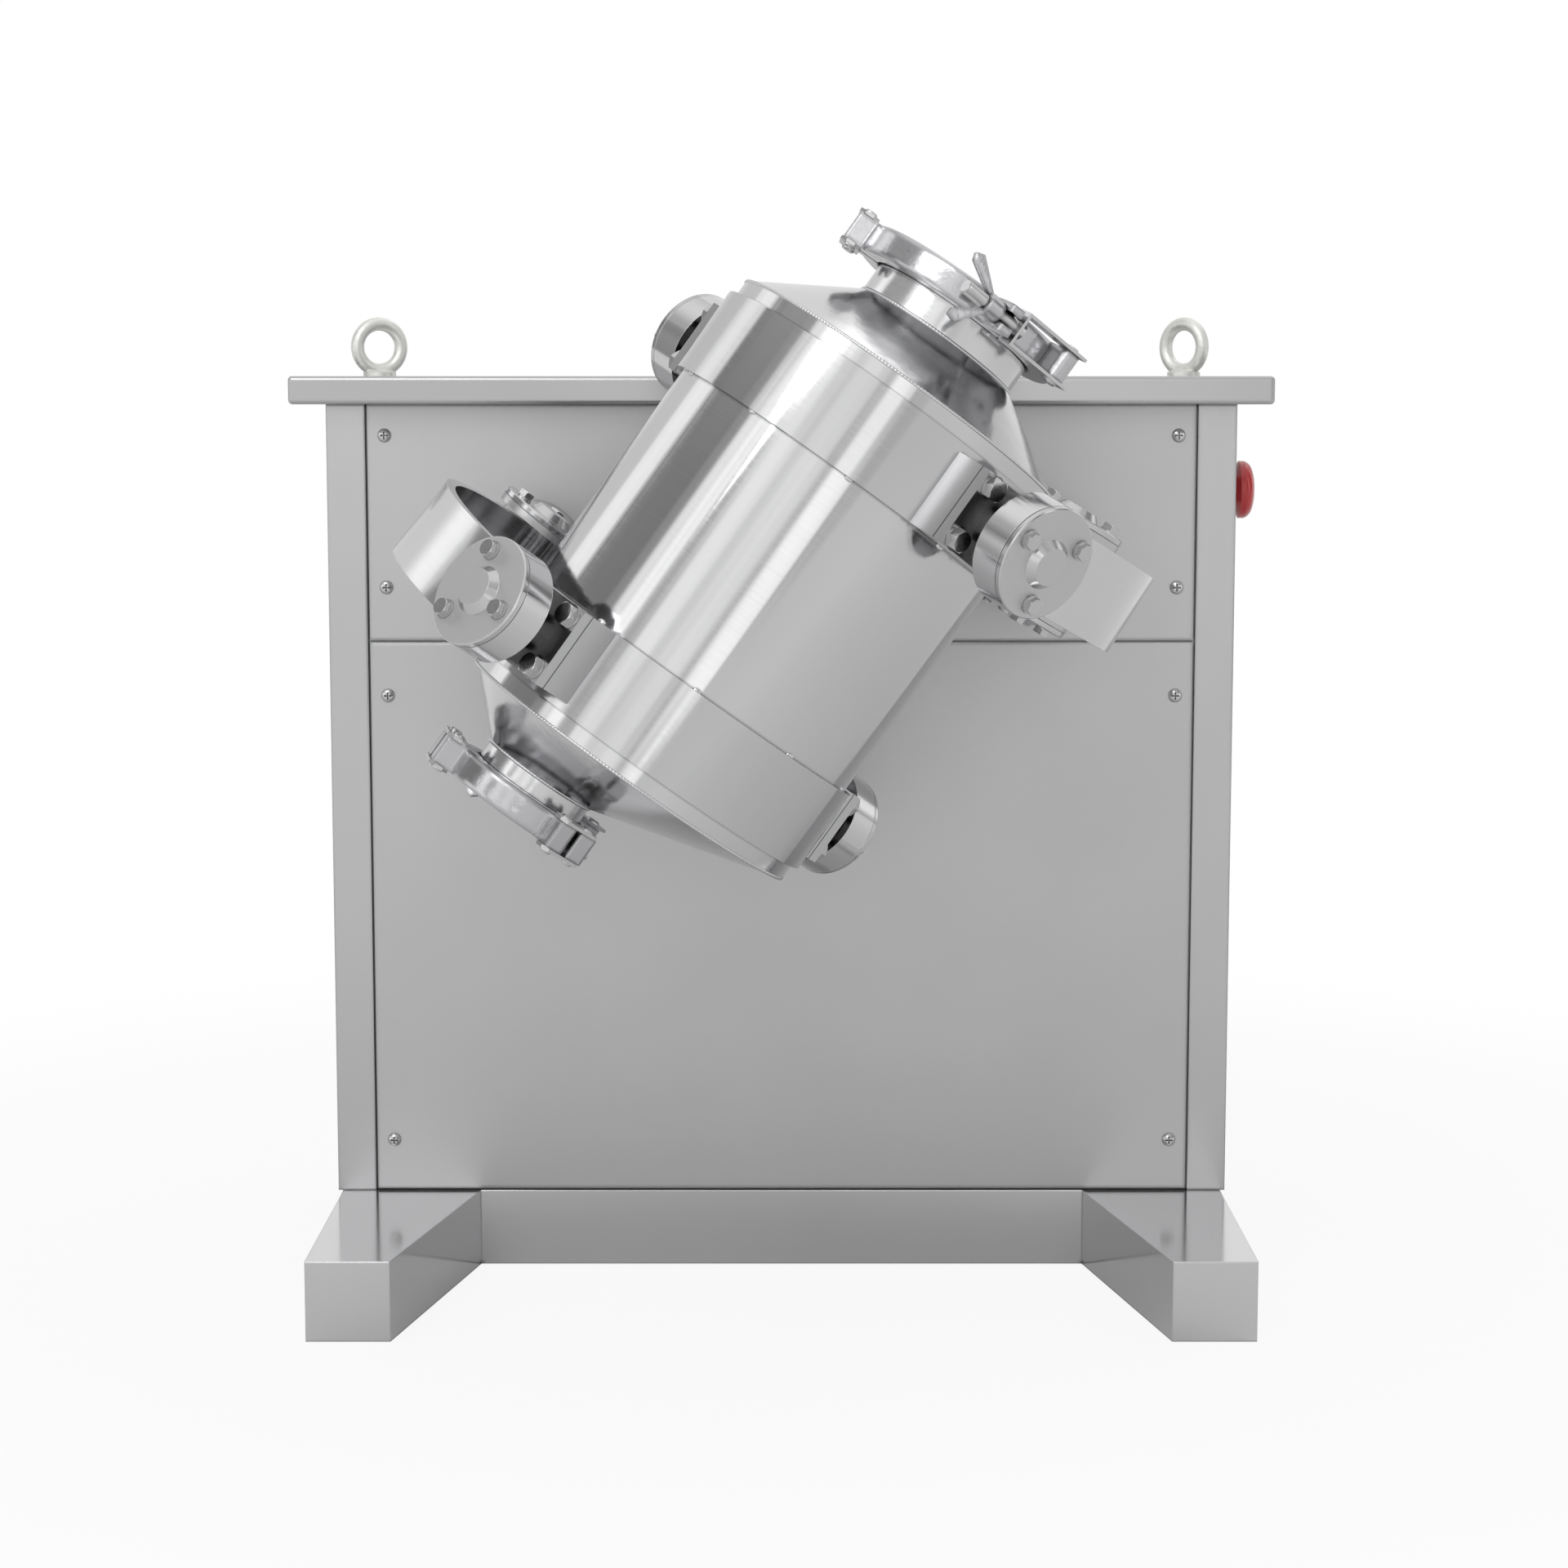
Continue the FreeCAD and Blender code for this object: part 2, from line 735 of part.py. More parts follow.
def top_slab():
    """The rounded top plate, with threaded holes for the lifting eyes."""
    half = S.slab_width / 2
    reach = S.cabinet_depth / 2 + S.slab_overhang
    body = padded("slab", "XY_Plane", rectangle(-half, -reach, half, reach), S.slab_thickness)
    pad = body.Tip
    doc.recompute()
    edges = [f"Edge{i}" for i in range(1, len(pad.Shape.Edges) + 1)]
    rounding = body.newObject("PartDesign::Fillet", "slab_rounding")
    rounding.Base = (pad, edges)
    bind(rounding, Radius=S.slab_edge)
    body.Tip = rounding
    holes = [cylinder(name, S.eye_thread_radius, S.slab_thickness, (x, 0, 0))
             for name, x in (("eye_hole_left", -S.eye_position), ("eye_hole_right", S.eye_position))]
    place = FreeCAD.Placement(V(0, 0, S.cabinet_top.value), UPRIGHT)
    subpart("top_slab", cut("slab_cut", body, *holes), place)


def lifting_eyes():
    """Two cast lifting eyes screwed into the top plate."""
    ring = doc.addObject("Part::Torus", "eye_ring")
    bind(ring, Radius1=S.eye_ring_radius, Radius2=S.eye_bar_radius)
    put(ring, (0, 0, S.eye_centre_height), ALONG_Y)
    collar = cylinder("eye_collar", S.eye_collar_radius, S.eye_collar_height * 0.5)
    neck = cone("eye_neck", S.eye_collar_radius, S.eye_bar_radius, S.eye_collar_height * 0.5,
                (0, 0, S.eye_collar_height * 0.5))
    thread = cylinder("eye_thread", S.eye_thread_radius, S.eye_thread_length,
                      (0, 0, -S.eye_thread_length))
    master = fuse("lifting_eye", ring, collar, neck, thread)
    top = (S.cabinet_top + S.slab_thickness).value
    places = []
    for x, angle in ((-S.eye_position, S.eye_turn_left), (S.eye_position, S.eye_turn_right)):
        turn = FreeCAD.Rotation(V(0, 0, 1), angle.value)
        places.append(FreeCAD.Placement(V(x.value, 0, top), turn))
    subpart("lifting_eyes", copies("lifting_eye_set", master, places))


def emergency_stop():
    """The collar and contact block, the stem that is pushed and the head that twists."""
    outer = S.stop_collar_radius
    stem_bore = S.stop_stem_radius + S.running_clearance
    wall = FreeCAD.Placement(V((S.cabinet_width / 2).value, 0, S.stop_height.value), ALONG_X)
    collar = revolved("stop_ring", [
        (stem_bore, -S.panel_thickness), (S.stop_hole_radius, -S.panel_thickness),
        (S.stop_hole_radius, 0), (outer, 0), (outer, S.stop_collar_height * 0.6),
        (outer - 2, S.stop_collar_height), (stem_bore, S.stop_collar_height)])
    half = S.stop_body_side / 2
    floor = -S.panel_thickness
    block = box("stop_block", (-half, -half, floor - S.stop_body_length), (half, half, floor))
    well = cylinder("stop_well", stem_bore, S.stop_stem_inside + S.stop_travel + 1,
                    (0, 0, floor - S.stop_stem_inside - S.stop_travel - 1))
    subpart("stop_collar", fuse("stop_body", collar, cut("stop_contacts", block, well)), wall)
    head_start = S.stop_collar_height + S.stop_travel + 1
    stem = revolved("stop_pin", [
        (0, floor - S.stop_stem_inside), (S.stop_stem_radius, floor - S.stop_stem_inside),
        (S.stop_stem_radius, head_start + 4), (0, head_start + 4)])
    subpart("stop_plunger", stem, wall)
    radius, top = S.stop_head_radius, head_start + S.stop_head_height
    head_bore = S.stop_stem_radius + S.running_clearance
    head = revolved("stop_mushroom", [
        (head_bore, head_start), (S.stop_collar_radius, head_start),
        (radius, head_start + 4), (radius, head_start + 8, radius * 0.4, 1),
        (radius - 6, top - 1), (radius - 9, top), (0, top),
        (0, head_start + 4 + S.running_clearance),
        (head_bore, head_start + 4 + S.running_clearance)])
    subpart("stop_head", head, wall)


def shaft_places():
    """The X of the driven shaft and of the drive shaft."""
    side = S.linkage_pitch * (math.sqrt(3) / 2)
    return -side, side


def shaft_support():
    """The cross plate behind the posts, the shaft housings and their bearings."""
    front = -(S.cabinet_depth / 2)
    plate_front = front + S.post_width
    plate_rear = plate_front + S.mounting_plate_thickness
    half = S.cabinet_width / 2 - S.post_wall
    low = S.shaft_height - S.mounting_plate_height / 2
    high = S.shaft_height + S.mounting_plate_height / 2
    bore = S.housing_radius + S.bolt_clearance
    shafts = [(x, S.shaft_height, bore) for x in shaft_places()]
    bolts = [(x + dx, S.shaft_height + dz, S.housing_bolt_radius + S.bolt_clearance)
             for x in shaft_places() for dx, dz in housing_bolt_offsets()]
    subpart("mounting_plate", padded("cross_plate", "XZ_Plane", rectangle(-half, low, half, high),
                                     S.mounting_plate_thickness, shafts + bolts,
                                     (0, plate_rear, 0)))
    housings, bearings = [], []
    for name, x in zip(("driven", "drive"), shaft_places()):
        housings.append(shaft_housing(name, x, plate_rear))
        for index, y in enumerate((plate_rear, plate_rear + S.housing_length - S.shaft_bearing_width)):
            bearings.append(tube(f"{name}_shaft_bearing_{index}", S.shaft_bearing_radius,
                                 S.shaft_radius + S.running_clearance, S.shaft_bearing_width,
                                 (x, y, S.shaft_height), ALONG_Y))
    subpart("bearing_housings", group("housing_set", *housings))
    subpart("shaft_bearings", group("shaft_bearing_set", *bearings))
    master = hex_bolt("housing_bolt", S.housing_bolt_radius, S.plate_bolt_hex, S.plate_bolt_head,
                      S.housing_flange_height + S.mounting_plate_thickness)
    seat = (plate_rear + S.housing_flange_height).value
    places = [FreeCAD.Placement(V((x + dx).value, seat, (S.shaft_height + dz).value), ALONG_Y)
              for x in shaft_places() for dx, dz in housing_bolt_offsets()]
    subpart("housing_bolts", copies("housing_bolt_set", master, places))
    rings = [tube(f"{name}_flange_ring", S.shaft_flange_radius, S.shaft_radius + S.running_clearance,
                  S.shaft_flange_height, (x, front - S.shaft_flange_height, S.shaft_height), ALONG_Y)
             for name, x in zip(("driven", "drive"), shaft_places())]
    subpart("shaft_flanges", group("shaft_flange_set", *rings))


def housing_bolt_offsets():
    """X and Z of the four bolts of a shaft housing, from the shaft."""
    reach = S.housing_bolt_circle / 2 * math.sqrt(0.5)
    return [(reach, reach), (-reach, reach), (-reach, -reach), (reach, -reach)]


def shaft_housing(name, x, seat):
    """A flanged tube on the rear of the cross plate."""
    flange = cylinder(name + "_flange", S.housing_flange_radius, S.housing_flange_height,
                      (x, seat, S.shaft_height), ALONG_Y)
    barrel = cylinder(name + "_housing_tube", S.housing_radius, S.housing_length,
                      (x, seat, S.shaft_height), ALONG_Y)
    bore = cylinder(name + "_housing_bore", S.shaft_bearing_radius, S.housing_length,
                    (x, seat, S.shaft_height), ALONG_Y)
    holes = [cylinder(f"{name}_housing_hole_{index}", S.housing_bolt_radius + S.bolt_clearance,
                      S.housing_flange_height, (x + dx, seat, S.shaft_height + dz), ALONG_Y)
             for index, (dx, dz) in enumerate(housing_bolt_offsets())]
    return cut(name + "_shaft_housing", fuse(name + "_housing_blank", flange, barrel), bore, *holes)


def gearmotor():
    """A hollow-shaft gearbox on the drive housing, with its motor hanging below."""
    x = shaft_places()[1]
    seat = -(S.cabinet_depth / 2) + S.post_width + S.mounting_plate_thickness + S.housing_length
    half = S.gearbox_width / 2
    low = S.shaft_height - S.gearbox_height / 2
    case = box("gearbox_case", (x - half, seat, low),
               (x + half, seat + S.gearbox_depth, low + S.gearbox_height))
    bore = cylinder("gearbox_bore", S.shaft_radius + S.running_clearance, S.gearbox_depth,
                    (x, seat, S.shaft_height), ALONG_Y)
    motor = cylinder("motor", S.motor_radius, S.motor_length,
                     (x, seat + S.gearbox_depth / 2, low - S.motor_length))
    subpart("gearmotor", group("gearmotor_set", cut("gearbox", case, bore), motor))


def control_box():
    """The electrical box on the inside of the left side panel."""
    wall = S.panel_thickness - S.cabinet_width / 2
    half = S.control_box_length / 2
    subpart("control_box", box("controls", (wall, -half, S.control_box_bottom),
                               (wall + S.control_box_depth, half,
                                S.control_box_bottom + S.control_box_height)))


def cable_gland():
    """The mains cable gland in the rear panel."""
    hexagonal = hexagon("gland_nut", S.gland_hex, 6)
    dome = cone("gland_dome", S.gland_hex * 0.45, S.gland_hex * 0.3, 12, (0, 0, 6))
    thread = cylinder("gland_thread", S.gland_radius, S.panel_thickness + 8,
                      (0, 0, -S.panel_thickness - 8))
    bore = cylinder("gland_hole", S.gland_radius * 0.5, 40, (0, 0, -20))
    item = cut("gland", fuse("gland_body", hexagonal, dome, thread), bore)
    place = V(S.gland_side.value, (S.cabinet_depth / 2).value, S.gland_height.value)
    subpart("cable_gland", item, FreeCAD.Placement(place, ALONG_Y))


def arm_inner():
    """From the strap's middle plane to the inner face of a fork arm."""
    return S.strap_width / 2 + S.arm_clearance


def fork(side, place):
    """A fork with its shaft, the two bearings, caps and bolts at its pin."""
    inner = arm_inner()
    outer = inner + S.arm_thickness
    hub_end = S.pin_reach - S.shaft_flange_height - 1
    plates = []
    for name, z in (("top", inner), ("bottom", -outer)):
        plates.append(cylinder(f"{side}_arm_disc_{name}", S.joint_radius, S.arm_thickness, (0, 0, z)))
        plates.append(box(f"{side}_arm_{name}", (-S.arm_half_width, 0, z),
                          (S.arm_half_width, S.web_start, z + S.arm_thickness)))
    web = box(side + "_web", (-S.arm_half_width, S.web_start, -outer),
              (S.arm_half_width, S.web_start + S.web_thickness, outer))
    hub = cylinder(side + "_hub", S.hub_radius, hub_end - S.web_start, (0, S.web_start, 0), ALONG_Y)
    shaft_bore = cylinder(side + "_hub_bore", S.shaft_radius, hub_end, (0, S.web_start, 0), ALONG_Y)
    bearing_bore = cylinder(side + "_arm_bore", S.fork_bearing_radius, outer * 2, (0, 0, -outer))
    holes = fork_bolt_holes(side, outer)
    blank = fuse(side + "_fork_blank", *plates, web, hub)
    subpart(side + "_fork", cut(side + "_fork_cut", blank, shaft_bore, bearing_bore, *holes), place)
    rear = S.pin_reach + S.post_width + S.mounting_plate_thickness + S.housing_length
    shaft_end = rear + S.gearbox_depth if side == "drive" else rear
    subpart(side + "_shaft", cylinder(side + "_shaft_bar", S.shaft_radius, shaft_end - S.web_start),
            shifted(place, y=S.web_start, turn=ALONG_Y))
    bearings = [tube(f"{side}_fork_bearing_{name}", S.fork_bearing_radius,
                     S.pin_radius + S.running_clearance, S.arm_thickness, (0, 0, z))
                for name, z in (("top", inner), ("bottom", -outer))]
    subpart(side + "_fork_bearings", group(side + "_fork_bearing_set", *bearings), place)
    faces = [shifted(place, z=outer), shifted(place, z=-outer, turn=AGAINST_Z)]
    subpart(side + "_fork_caps", copies(side + "_fork_cap_set", JOINT_CAP, faces))
    bolts = [face * bolt for face in faces for bolt in cap_bolt_places(S.cap_thickness)]
    subpart(side + "_fork_bolts", copies(side + "_fork_bolt_set", FORK_BOLT, bolts))


def fork_bolt_holes(side, outer):
    holes = []
    for index, place in enumerate(cap_bolt_places(0)):
        for end, flip in (("top", UPRIGHT), ("bottom", AGAINST_Z)):
            hole = cylinder(f"{side}_arm_hole_{end}_{index}", S.cap_bolt_radius, S.arm_thickness)
            hole.Placement = (FreeCAD.Placement(V(0, 0, 0), flip)
                              * shifted(place, z=outer - S.arm_thickness))
            holes.append(hole)
    return holes


def trunnion_face():
    """From the barrel's axis to the face that a trunnion cap seats on."""
    return S.strap_radius + S.strap_thickness / 2


def stirrup(side, place):
    """A U-shaped strap with two trunnion housings and the sleeve of its pin."""
    radius, half = S.strap_radius, S.strap_width / 2
    outer, inner = radius + S.strap_thickness / 2, radius - S.strap_thickness / 2
    centre = S.linkage_pitch
    face = trunnion_face()
    ring = put(tube(side + "_strap_ring", outer, inner, S.strap_width), (radius, 0, -half))
    rear_half = box(side + "_strap_half", (-outer, -outer, -half), (radius, outer, half))
    bend = common(side + "_strap_bend", ring, rear_half)
    flanks = [box(f"{side}_flank_{name}", (radius, y, -half),
                  (centre - S.trunnion_bearing_radius, y + S.strap_thickness, half))
              for name, y in (("near", inner), ("far", -outer))]
    housing = cylinder(side + "_housings", S.joint_radius, face * 2, (centre, -face, 0), ALONG_Y)
    between = face - S.joint_housing_length
    gap = cylinder(side + "_between", S.joint_radius + 1, between * 2, (centre, -between, 0), ALONG_Y)
    sleeve = cylinder(side + "_sleeve", S.sleeve_radius, (arm_inner() - S.face_clearance) * 2,
                      (0, 0, S.face_clearance - arm_inner()))
    blank = fuse(side + "_stirrup_blank", bend, *flanks, cut(side + "_housing_pair", housing, gap),
                 sleeve)
    pin_bore = cylinder(side + "_pin_bore", S.pin_radius, arm_inner() * 2, (0, 0, -arm_inner()))
    lip = cylinder(side + "_lip_bore", S.open_pivot_radius, face * 2, (centre, -face, 0), ALONG_Y)
    seats = [
        cylinder(side + "_seat_near", S.trunnion_bearing_radius, face - S.trunnion_bearing_start,
                 (centre, S.trunnion_bearing_start, 0), ALONG_Y),
        cylinder(side + "_seat_far", S.trunnion_bearing_radius, face - S.trunnion_bearing_start,
                 (centre, -face, 0), ALONG_Y),
    ]
    centre_place = shifted(place, x=centre)
    turn = cap_turn(side)
    near = shifted(centre_place, y=face, turn=ALONG_Y) * turn
    far = shifted(centre_place, y=-face, turn=AGAINST_Y) * turn
    holes = stirrup_bolt_holes(side, face)
    subpart(side + "_stirrup", cut(side + "_stirrup_cut", blank, pin_bore, lip, *seats, *holes), place)
    pin_half = arm_inner() + S.arm_thickness
    subpart(side + "_pin", cylinder(side + "_pin_bar", S.pin_radius, pin_half * 2),
            shifted(place, z=-pin_half))
    subpart(side + "_trunnion_bearings", trunnion_bearings(side), centre_place)
    subpart(side + "_trunnion_caps", copies(side + "_trunnion_cap_set", JOINT_CAP, [near, far]))
    bolts = [seat * bolt for seat in (near, far) for bolt in cap_bolt_places(S.cap_thickness)]
    subpart(side + "_trunnion_bolts", copies(side + "_trunnion_bolt_set", TRUNNION_BOLT, bolts))


def cap_turn(side):
    """How far the bolts of a stirrup's trunnion caps are turned about the caps."""
    return turned_about_z(S.drive_cap_turn if side == "drive" else S.driven_cap_turn)


def stirrup_bolt_holes(side, face):
    holes = []
    for name, y, turn in (("near", face, ALONG_Y), ("far", -face, AGAINST_Y)):
        seat = shifted(FreeCAD.Placement(), x=S.linkage_pitch, y=y, turn=turn) * cap_turn(side)
        for index, place in enumerate(cap_bolt_places(-S.cap_bolt_grip)):
            hole = cylinder(f"{side}_housing_hole_{name}_{index}", S.cap_bolt_radius, S.cap_bolt_grip)
            hole.Placement = seat * place
            holes.append(hole)
    return holes


def trunnion_bearings(side):
    """The drive pair fits its stubs; the driven pair is the pivot where the loop is opened."""
    bore = S.pin_radius + S.running_clearance if side == "drive" else S.open_pivot_radius
    rings = []
    for name, y in (("near", S.trunnion_bearing_start),
                    ("far", -S.trunnion_bearing_start - S.trunnion_bearing_width)):
        rings.append(tube(f"{side}_trunnion_bearing_{name}", S.trunnion_bearing_radius, bore,
                          S.trunnion_bearing_width, (0, y, 0), ALONG_Y))
    return group(side + "_trunnion_bearing_set", *rings)


def barrel_half_length():
    return S.linkage_pitch / 2 + S.barrel_end_reach


def barrel_shell(place):
    """The rolled shell and the two bands round it."""
    half = barrel_half_length()
    radius = S.barrel_radius
    subpart("barrel_shell", tube("shell", radius, radius - S.barrel_wall, half * 2),
            shifted(place, z=-half))
    pivot = S.linkage_pitch / 2
    width = S.band_outer_reach + S.band_inner_reach
    bands = [tube("upper_band", S.band_radius, radius, width, (0, 0, pivot - S.band_inner_reach)),
             tube("lower_band", S.band_radius, radius, width, (0, 0, -pivot - S.band_outer_reach))]
    subpart("barrel_bands", group("band_set", *bands), place)


def trunnion_frames(place):
    """The four trunnions: Z outward from the barrel's axis, Y along the barrel."""
    pivot = S.linkage_pitch / 2
    upward = FreeCAD.Rotation(V(1, 0, 0), V(0, 1, 0), V(0, 0, 1), "ZXY")
    frames = []
    for z, angles in ((pivot, (90, 270)), (-pivot, (0, 180))):
        for angle in angles:
            outward = FreeCAD.Rotation(V(0, 0, 1), angle)
            local = FreeCAD.Placement(V(0, 0, z.value), outward * upright_to_outward())
            frames.append(place * local)
    return frames


def upright_to_outward():
    """Turns Z to X, X to Y and Y to Z."""
    return FreeCAD.Rotation(V(0, 1, 0), V(0, 0, 1), V(1, 0, 0), "ZXY")


def trunnions(place):
    """Welded pads, bolted plates with their stubs, and the plate bolts."""
    frames = trunnion_frames(place)
    half, length = S.pad_half_width, S.pad_half_length
    block = box("pad_block", (-half, -length, S.barrel_radius * 0.8), (half, length, S.pad_face))
    hollow = cylinder("pad_hollow", S.band_radius, length * 2, (0, -length, 0), ALONG_Y)
    holes = plate_bolt_offsets()
    bolt_holes = [cylinder(f"pad_hole_{index}", S.plate_bolt_radius, S.plate_bolt_grip,
                           (x, y, S.pad_face - S.plate_bolt_grip + S.plate_thickness))
                  for index, (x, y) in enumerate(holes)]
    pad = cut("trunnion_pad", block, hollow, *bolt_holes)
    subpart("trunnion_pads", copies("trunnion_pad_set", pad, frames))
    clear = S.plate_bolt_radius + S.bolt_clearance
    plate = padded("plate_body", "XY_Plane", rectangle(-half, -length, half, length),
                   S.plate_thickness, [(x, y, clear) for x, y in holes], (0, 0, S.pad_face))
    hub_start = S.pad_face + S.plate_thickness
    hub = cylinder("plate_hub", S.trunnion_hub_radius, S.trunnion_hub_end - hub_start, (0, 0, hub_start))
    stub = cylinder("plate_stub", S.pin_radius, S.trunnion_end - S.pad_face, (0, 0, S.pad_face))
    subpart("trunnion_plates", copies("trunnion_plate_set",
                                      fuse("trunnion_plate", plate, hub, stub), frames))
    master = bolt_and_washer("plate_bolt", S.plate_bolt_radius, S.plate_bolt_hex, S.plate_bolt_head,
                             S.plate_bolt_grip, S.plate_washer_radius, S.plate_washer_thickness)
    bolts = [shifted(seat, x=x, y=y, z=hub_start) for seat in frames for x, y in holes]
    subpart("plate_bolts", copies("plate_bolt_set", master, bolts))


def plate_bolt_offsets():
    across, along = S.plate_bolt_across, S.plate_bolt_along
    return [(across, along), (-across, along), (-across, -along), (across, -along)]


class Mouth:
    """One end of the barrel: its cone, neck, ferrule, lid and clamp."""

    def __init__(self, end, end_place):
        self.end = end
        self.end_place = end_place
        self.cone_height = self.size("cone_height")
        self.neck_radius = self.size("neck_radius")
        self.neck_length = self.size("neck_length")
        self.offset = self.size("neck_offset")
        self.ferrule_radius = self.size("ferrule_radius")
        self.clamp_radius = self.size("clamp_radius")
        self.pin_place = self.size("pin_place")
        self.clamp_line = self.clamp_radius + S.clamp_line_gap
        height = barrel_half_length() + self.cone_height + self.neck_length
        self.rim_height = height
        self.seat = shifted(end_place, x=self.offset, z=height)
        middle = shifted(self.seat, z=S.gasket_thickness / 2)
        self.clamp_place = middle * turned_about_z(self.size("clamp_turn"))

    def size(self, name):
        return getattr(S, f"{self.end}_{name}")

    def cone_shell(self):
        """The cone from shell to neck, the neck and the ferrule as one weldment."""
        wall = S.barrel_wall
        start = barrel_half_length()
        outer = self.skin("outer", S.barrel_radius, self.neck_radius)
        inner = self.skin("inner", S.barrel_radius - wall, self.neck_radius - wall)
        neck = revolved(self.end + "_neck", [
            (0, start + self.cone_height), (self.neck_radius, start + self.cone_height),
            (self.neck_radius, self.rim_height - S.ferrule_rim - S.ferrule_slope),
            (self.ferrule_radius, self.rim_height - S.ferrule_rim),
            (self.ferrule_radius, self.rim_height), (0, self.rim_height)],
            at=(self.offset, 0, 0))
        bore = cylinder(self.end + "_neck_bore", self.neck_radius - wall, self.neck_length,
                        (self.offset, 0, start + self.cone_height))
        blank = fuse(self.end + "_cone_blank", outer, neck)
        subpart(self.end + "_cone", cut(self.end + "_cone_cut", blank, inner, bore), self.end_place)

    def skin(self, name, start_radius, end_radius):
        """A cone between two circles, oblique where the neck is offset."""
        start = barrel_half_length()
        circles = []
        for step, radius, place in (
                ("start", start_radius, (0, 0, start)),
                ("end", end_radius, (self.offset, 0, start + self.cone_height))):
            circle = doc.addObject("Part::Circle", f"{self.end}_{name}_{step}")
            bind(circle, Radius=radius)
            circles.append(put(circle, place))
        item = doc.addObject("Part::Loft", f"{self.end}_{name}_skin")
        item.Sections = circles
        item.Solid = True
        item.Ruled = True
        return item

    def gasket(self):
        return tube(self.end + "_gasket", self.ferrule_radius - 1, self.neck_radius - S.barrel_wall,
                    S.gasket_thickness)

    def lid(self):
        """A dished lid with its own ferrule rim."""
        low = S.gasket_thickness
        top = low + S.ferrule_rim + S.ferrule_slope
        rim = self.neck_radius - S.lid_rim_width
        subpart(self.end + "_lid", revolved(self.end + "_lid_body", [
            (0, low), (self.ferrule_radius, low), (self.ferrule_radius, low + S.ferrule_rim),
            (self.neck_radius, top), (rim, top), (rim - S.lid_dish_depth, top - S.lid_dish_depth),
            (0, top - S.lid_dish_depth)]), self.seat)

    def clamp(self):
        """Three clamp segments with their lugs, cut from one grooved ring."""
        name = self.end + "_clamp"
        half, line = S.clamp_half_height, self.clamp_line
        lug = box(name + "_lug", (self.neck_radius + 9, -S.link_half_length + 1, -half),
                  (line + 6, S.link_half_length - 1, half))
        lugs = copies(name + "_lugs", lug, [turned_about_z(angle) for angle in (120, 240)])
        nut_lug = cut(name + "_nut_lug",
                      box(name + "_nut_block", (self.ferrule_radius + 2, -S.lug_far - 1, -half),
                          (line + S.lug_rise, -S.lug_near, half)),
                      self.lug_relief(name))
        pin_lug = self.pin_lug(name)
        blank = fuse(name + "_blank", self.clamp_ring(name), lugs, nut_lug, pin_lug)
        subpart(name, cut(name + "_cut", blank, self.groove_space(name), *self.clamp_slots(name)),
                self.clamp_place)

    def clamp_ring(self, name):
        """The ring before it is grooved, with rounded outer corners."""
        half, corner = S.clamp_half_height, S.clamp_corner
        inner, outer = self.neck_radius + 2, self.clamp_radius
        return revolved(name + "_ring", [
            (inner, -half), (outer - corner, -half, corner, 1), (outer, corner - half),
            (outer, half - corner, corner, 1), (outer - corner, half), (inner, half)])

    def groove_space(self, name):
        """The space for the two ferrule rims, with a little play."""
        play = S.clamp_groove_play
        middle = S.gasket_thickness / 2
        rim = S.ferrule_rim + middle + play
        root = rim + S.ferrule_slope
        inner = self.neck_radius
        edge = self.ferrule_radius + S.face_clearance
        return revolved(name + "_groove", [
            (0, -S.clamp_half_height - 1), (inner, -S.clamp_half_height - 1), (inner, -root),
            (edge, -rim), (edge, rim), (inner, root), (inner, S.clamp_half_height + 1),
            (0, S.clamp_half_height + 1)])

    def lug_relief(self, name):
        """Rounds the nut's seat about the swing bolt's pin, so that the nut can swing off."""
        radius = self.pin_place + S.lug_far
        span = S.clamp_half_height + 1
        region = box(name + "_relief_block", (0, -S.lug_far - 5, -span), (self.clamp_line + 20, 0, span))
        keep = cylinder(name + "_relief_keep", radius, span * 2,
                        (self.clamp_line, self.pin_place, -span))
        return cut(name + "_relief", region, keep)

    def pin_lug(self, name):
        """The lug that holds the swing bolt's pin."""
        half, place = S.clamp_half_height, self.pin_place
        eye = cylinder(name + "_pin_eye", 7, half * 2, (self.clamp_line, place, -half))
        arm = box(name + "_pin_arm", (self.ferrule_radius * 0.8, place - 7, -half),
                  (self.clamp_line, place + 7, half))
        return fuse(name + "_pin_lug", eye, arm)

    def clamp_slots(self, name):
        """The gaps between the segments, the bolt slot and the pin holes."""
        span, far = S.clamp_half_height + 1, self.clamp_line + 20
        gap = box(name + "_gap", (self.neck_radius - 4, -S.clamp_gap / 2, -span),
                  (far, S.clamp_gap / 2, span))
        slots = [copies(name + "_gaps", gap, [turned_about_z(angle) for angle in (0, 120, 240)])]
        play = S.swing_bolt_radius + 0.5
        slots.append(box(name + "_bolt_slot", (self.clamp_line - play, -S.lug_far - 5, -play),
                         (far, -S.lug_near + 1, play)))
        pin = self.link_hole(name + "_swing_pin_hole", 0, self.pin_place)
        return slots + [pin] + [
            self.link_hole(f"{name}_link_hole_{index}", angle, place)
            for index, (angle, place) in enumerate(self.link_pins())]

    def link_pins(self):
        return [(angle, place) for angle in (120, 240)
                for place in (-S.link_pin_place, S.link_pin_place)]

    def link_hole(self, name, angle, place):
        span = S.clamp_half_height + 1
        hole = cylinder(name, S.link_pin_radius, span * 2)
        hole.Placement = shifted(turned_about_z(angle), x=self.clamp_line, y=place, z=-span)
        return hole

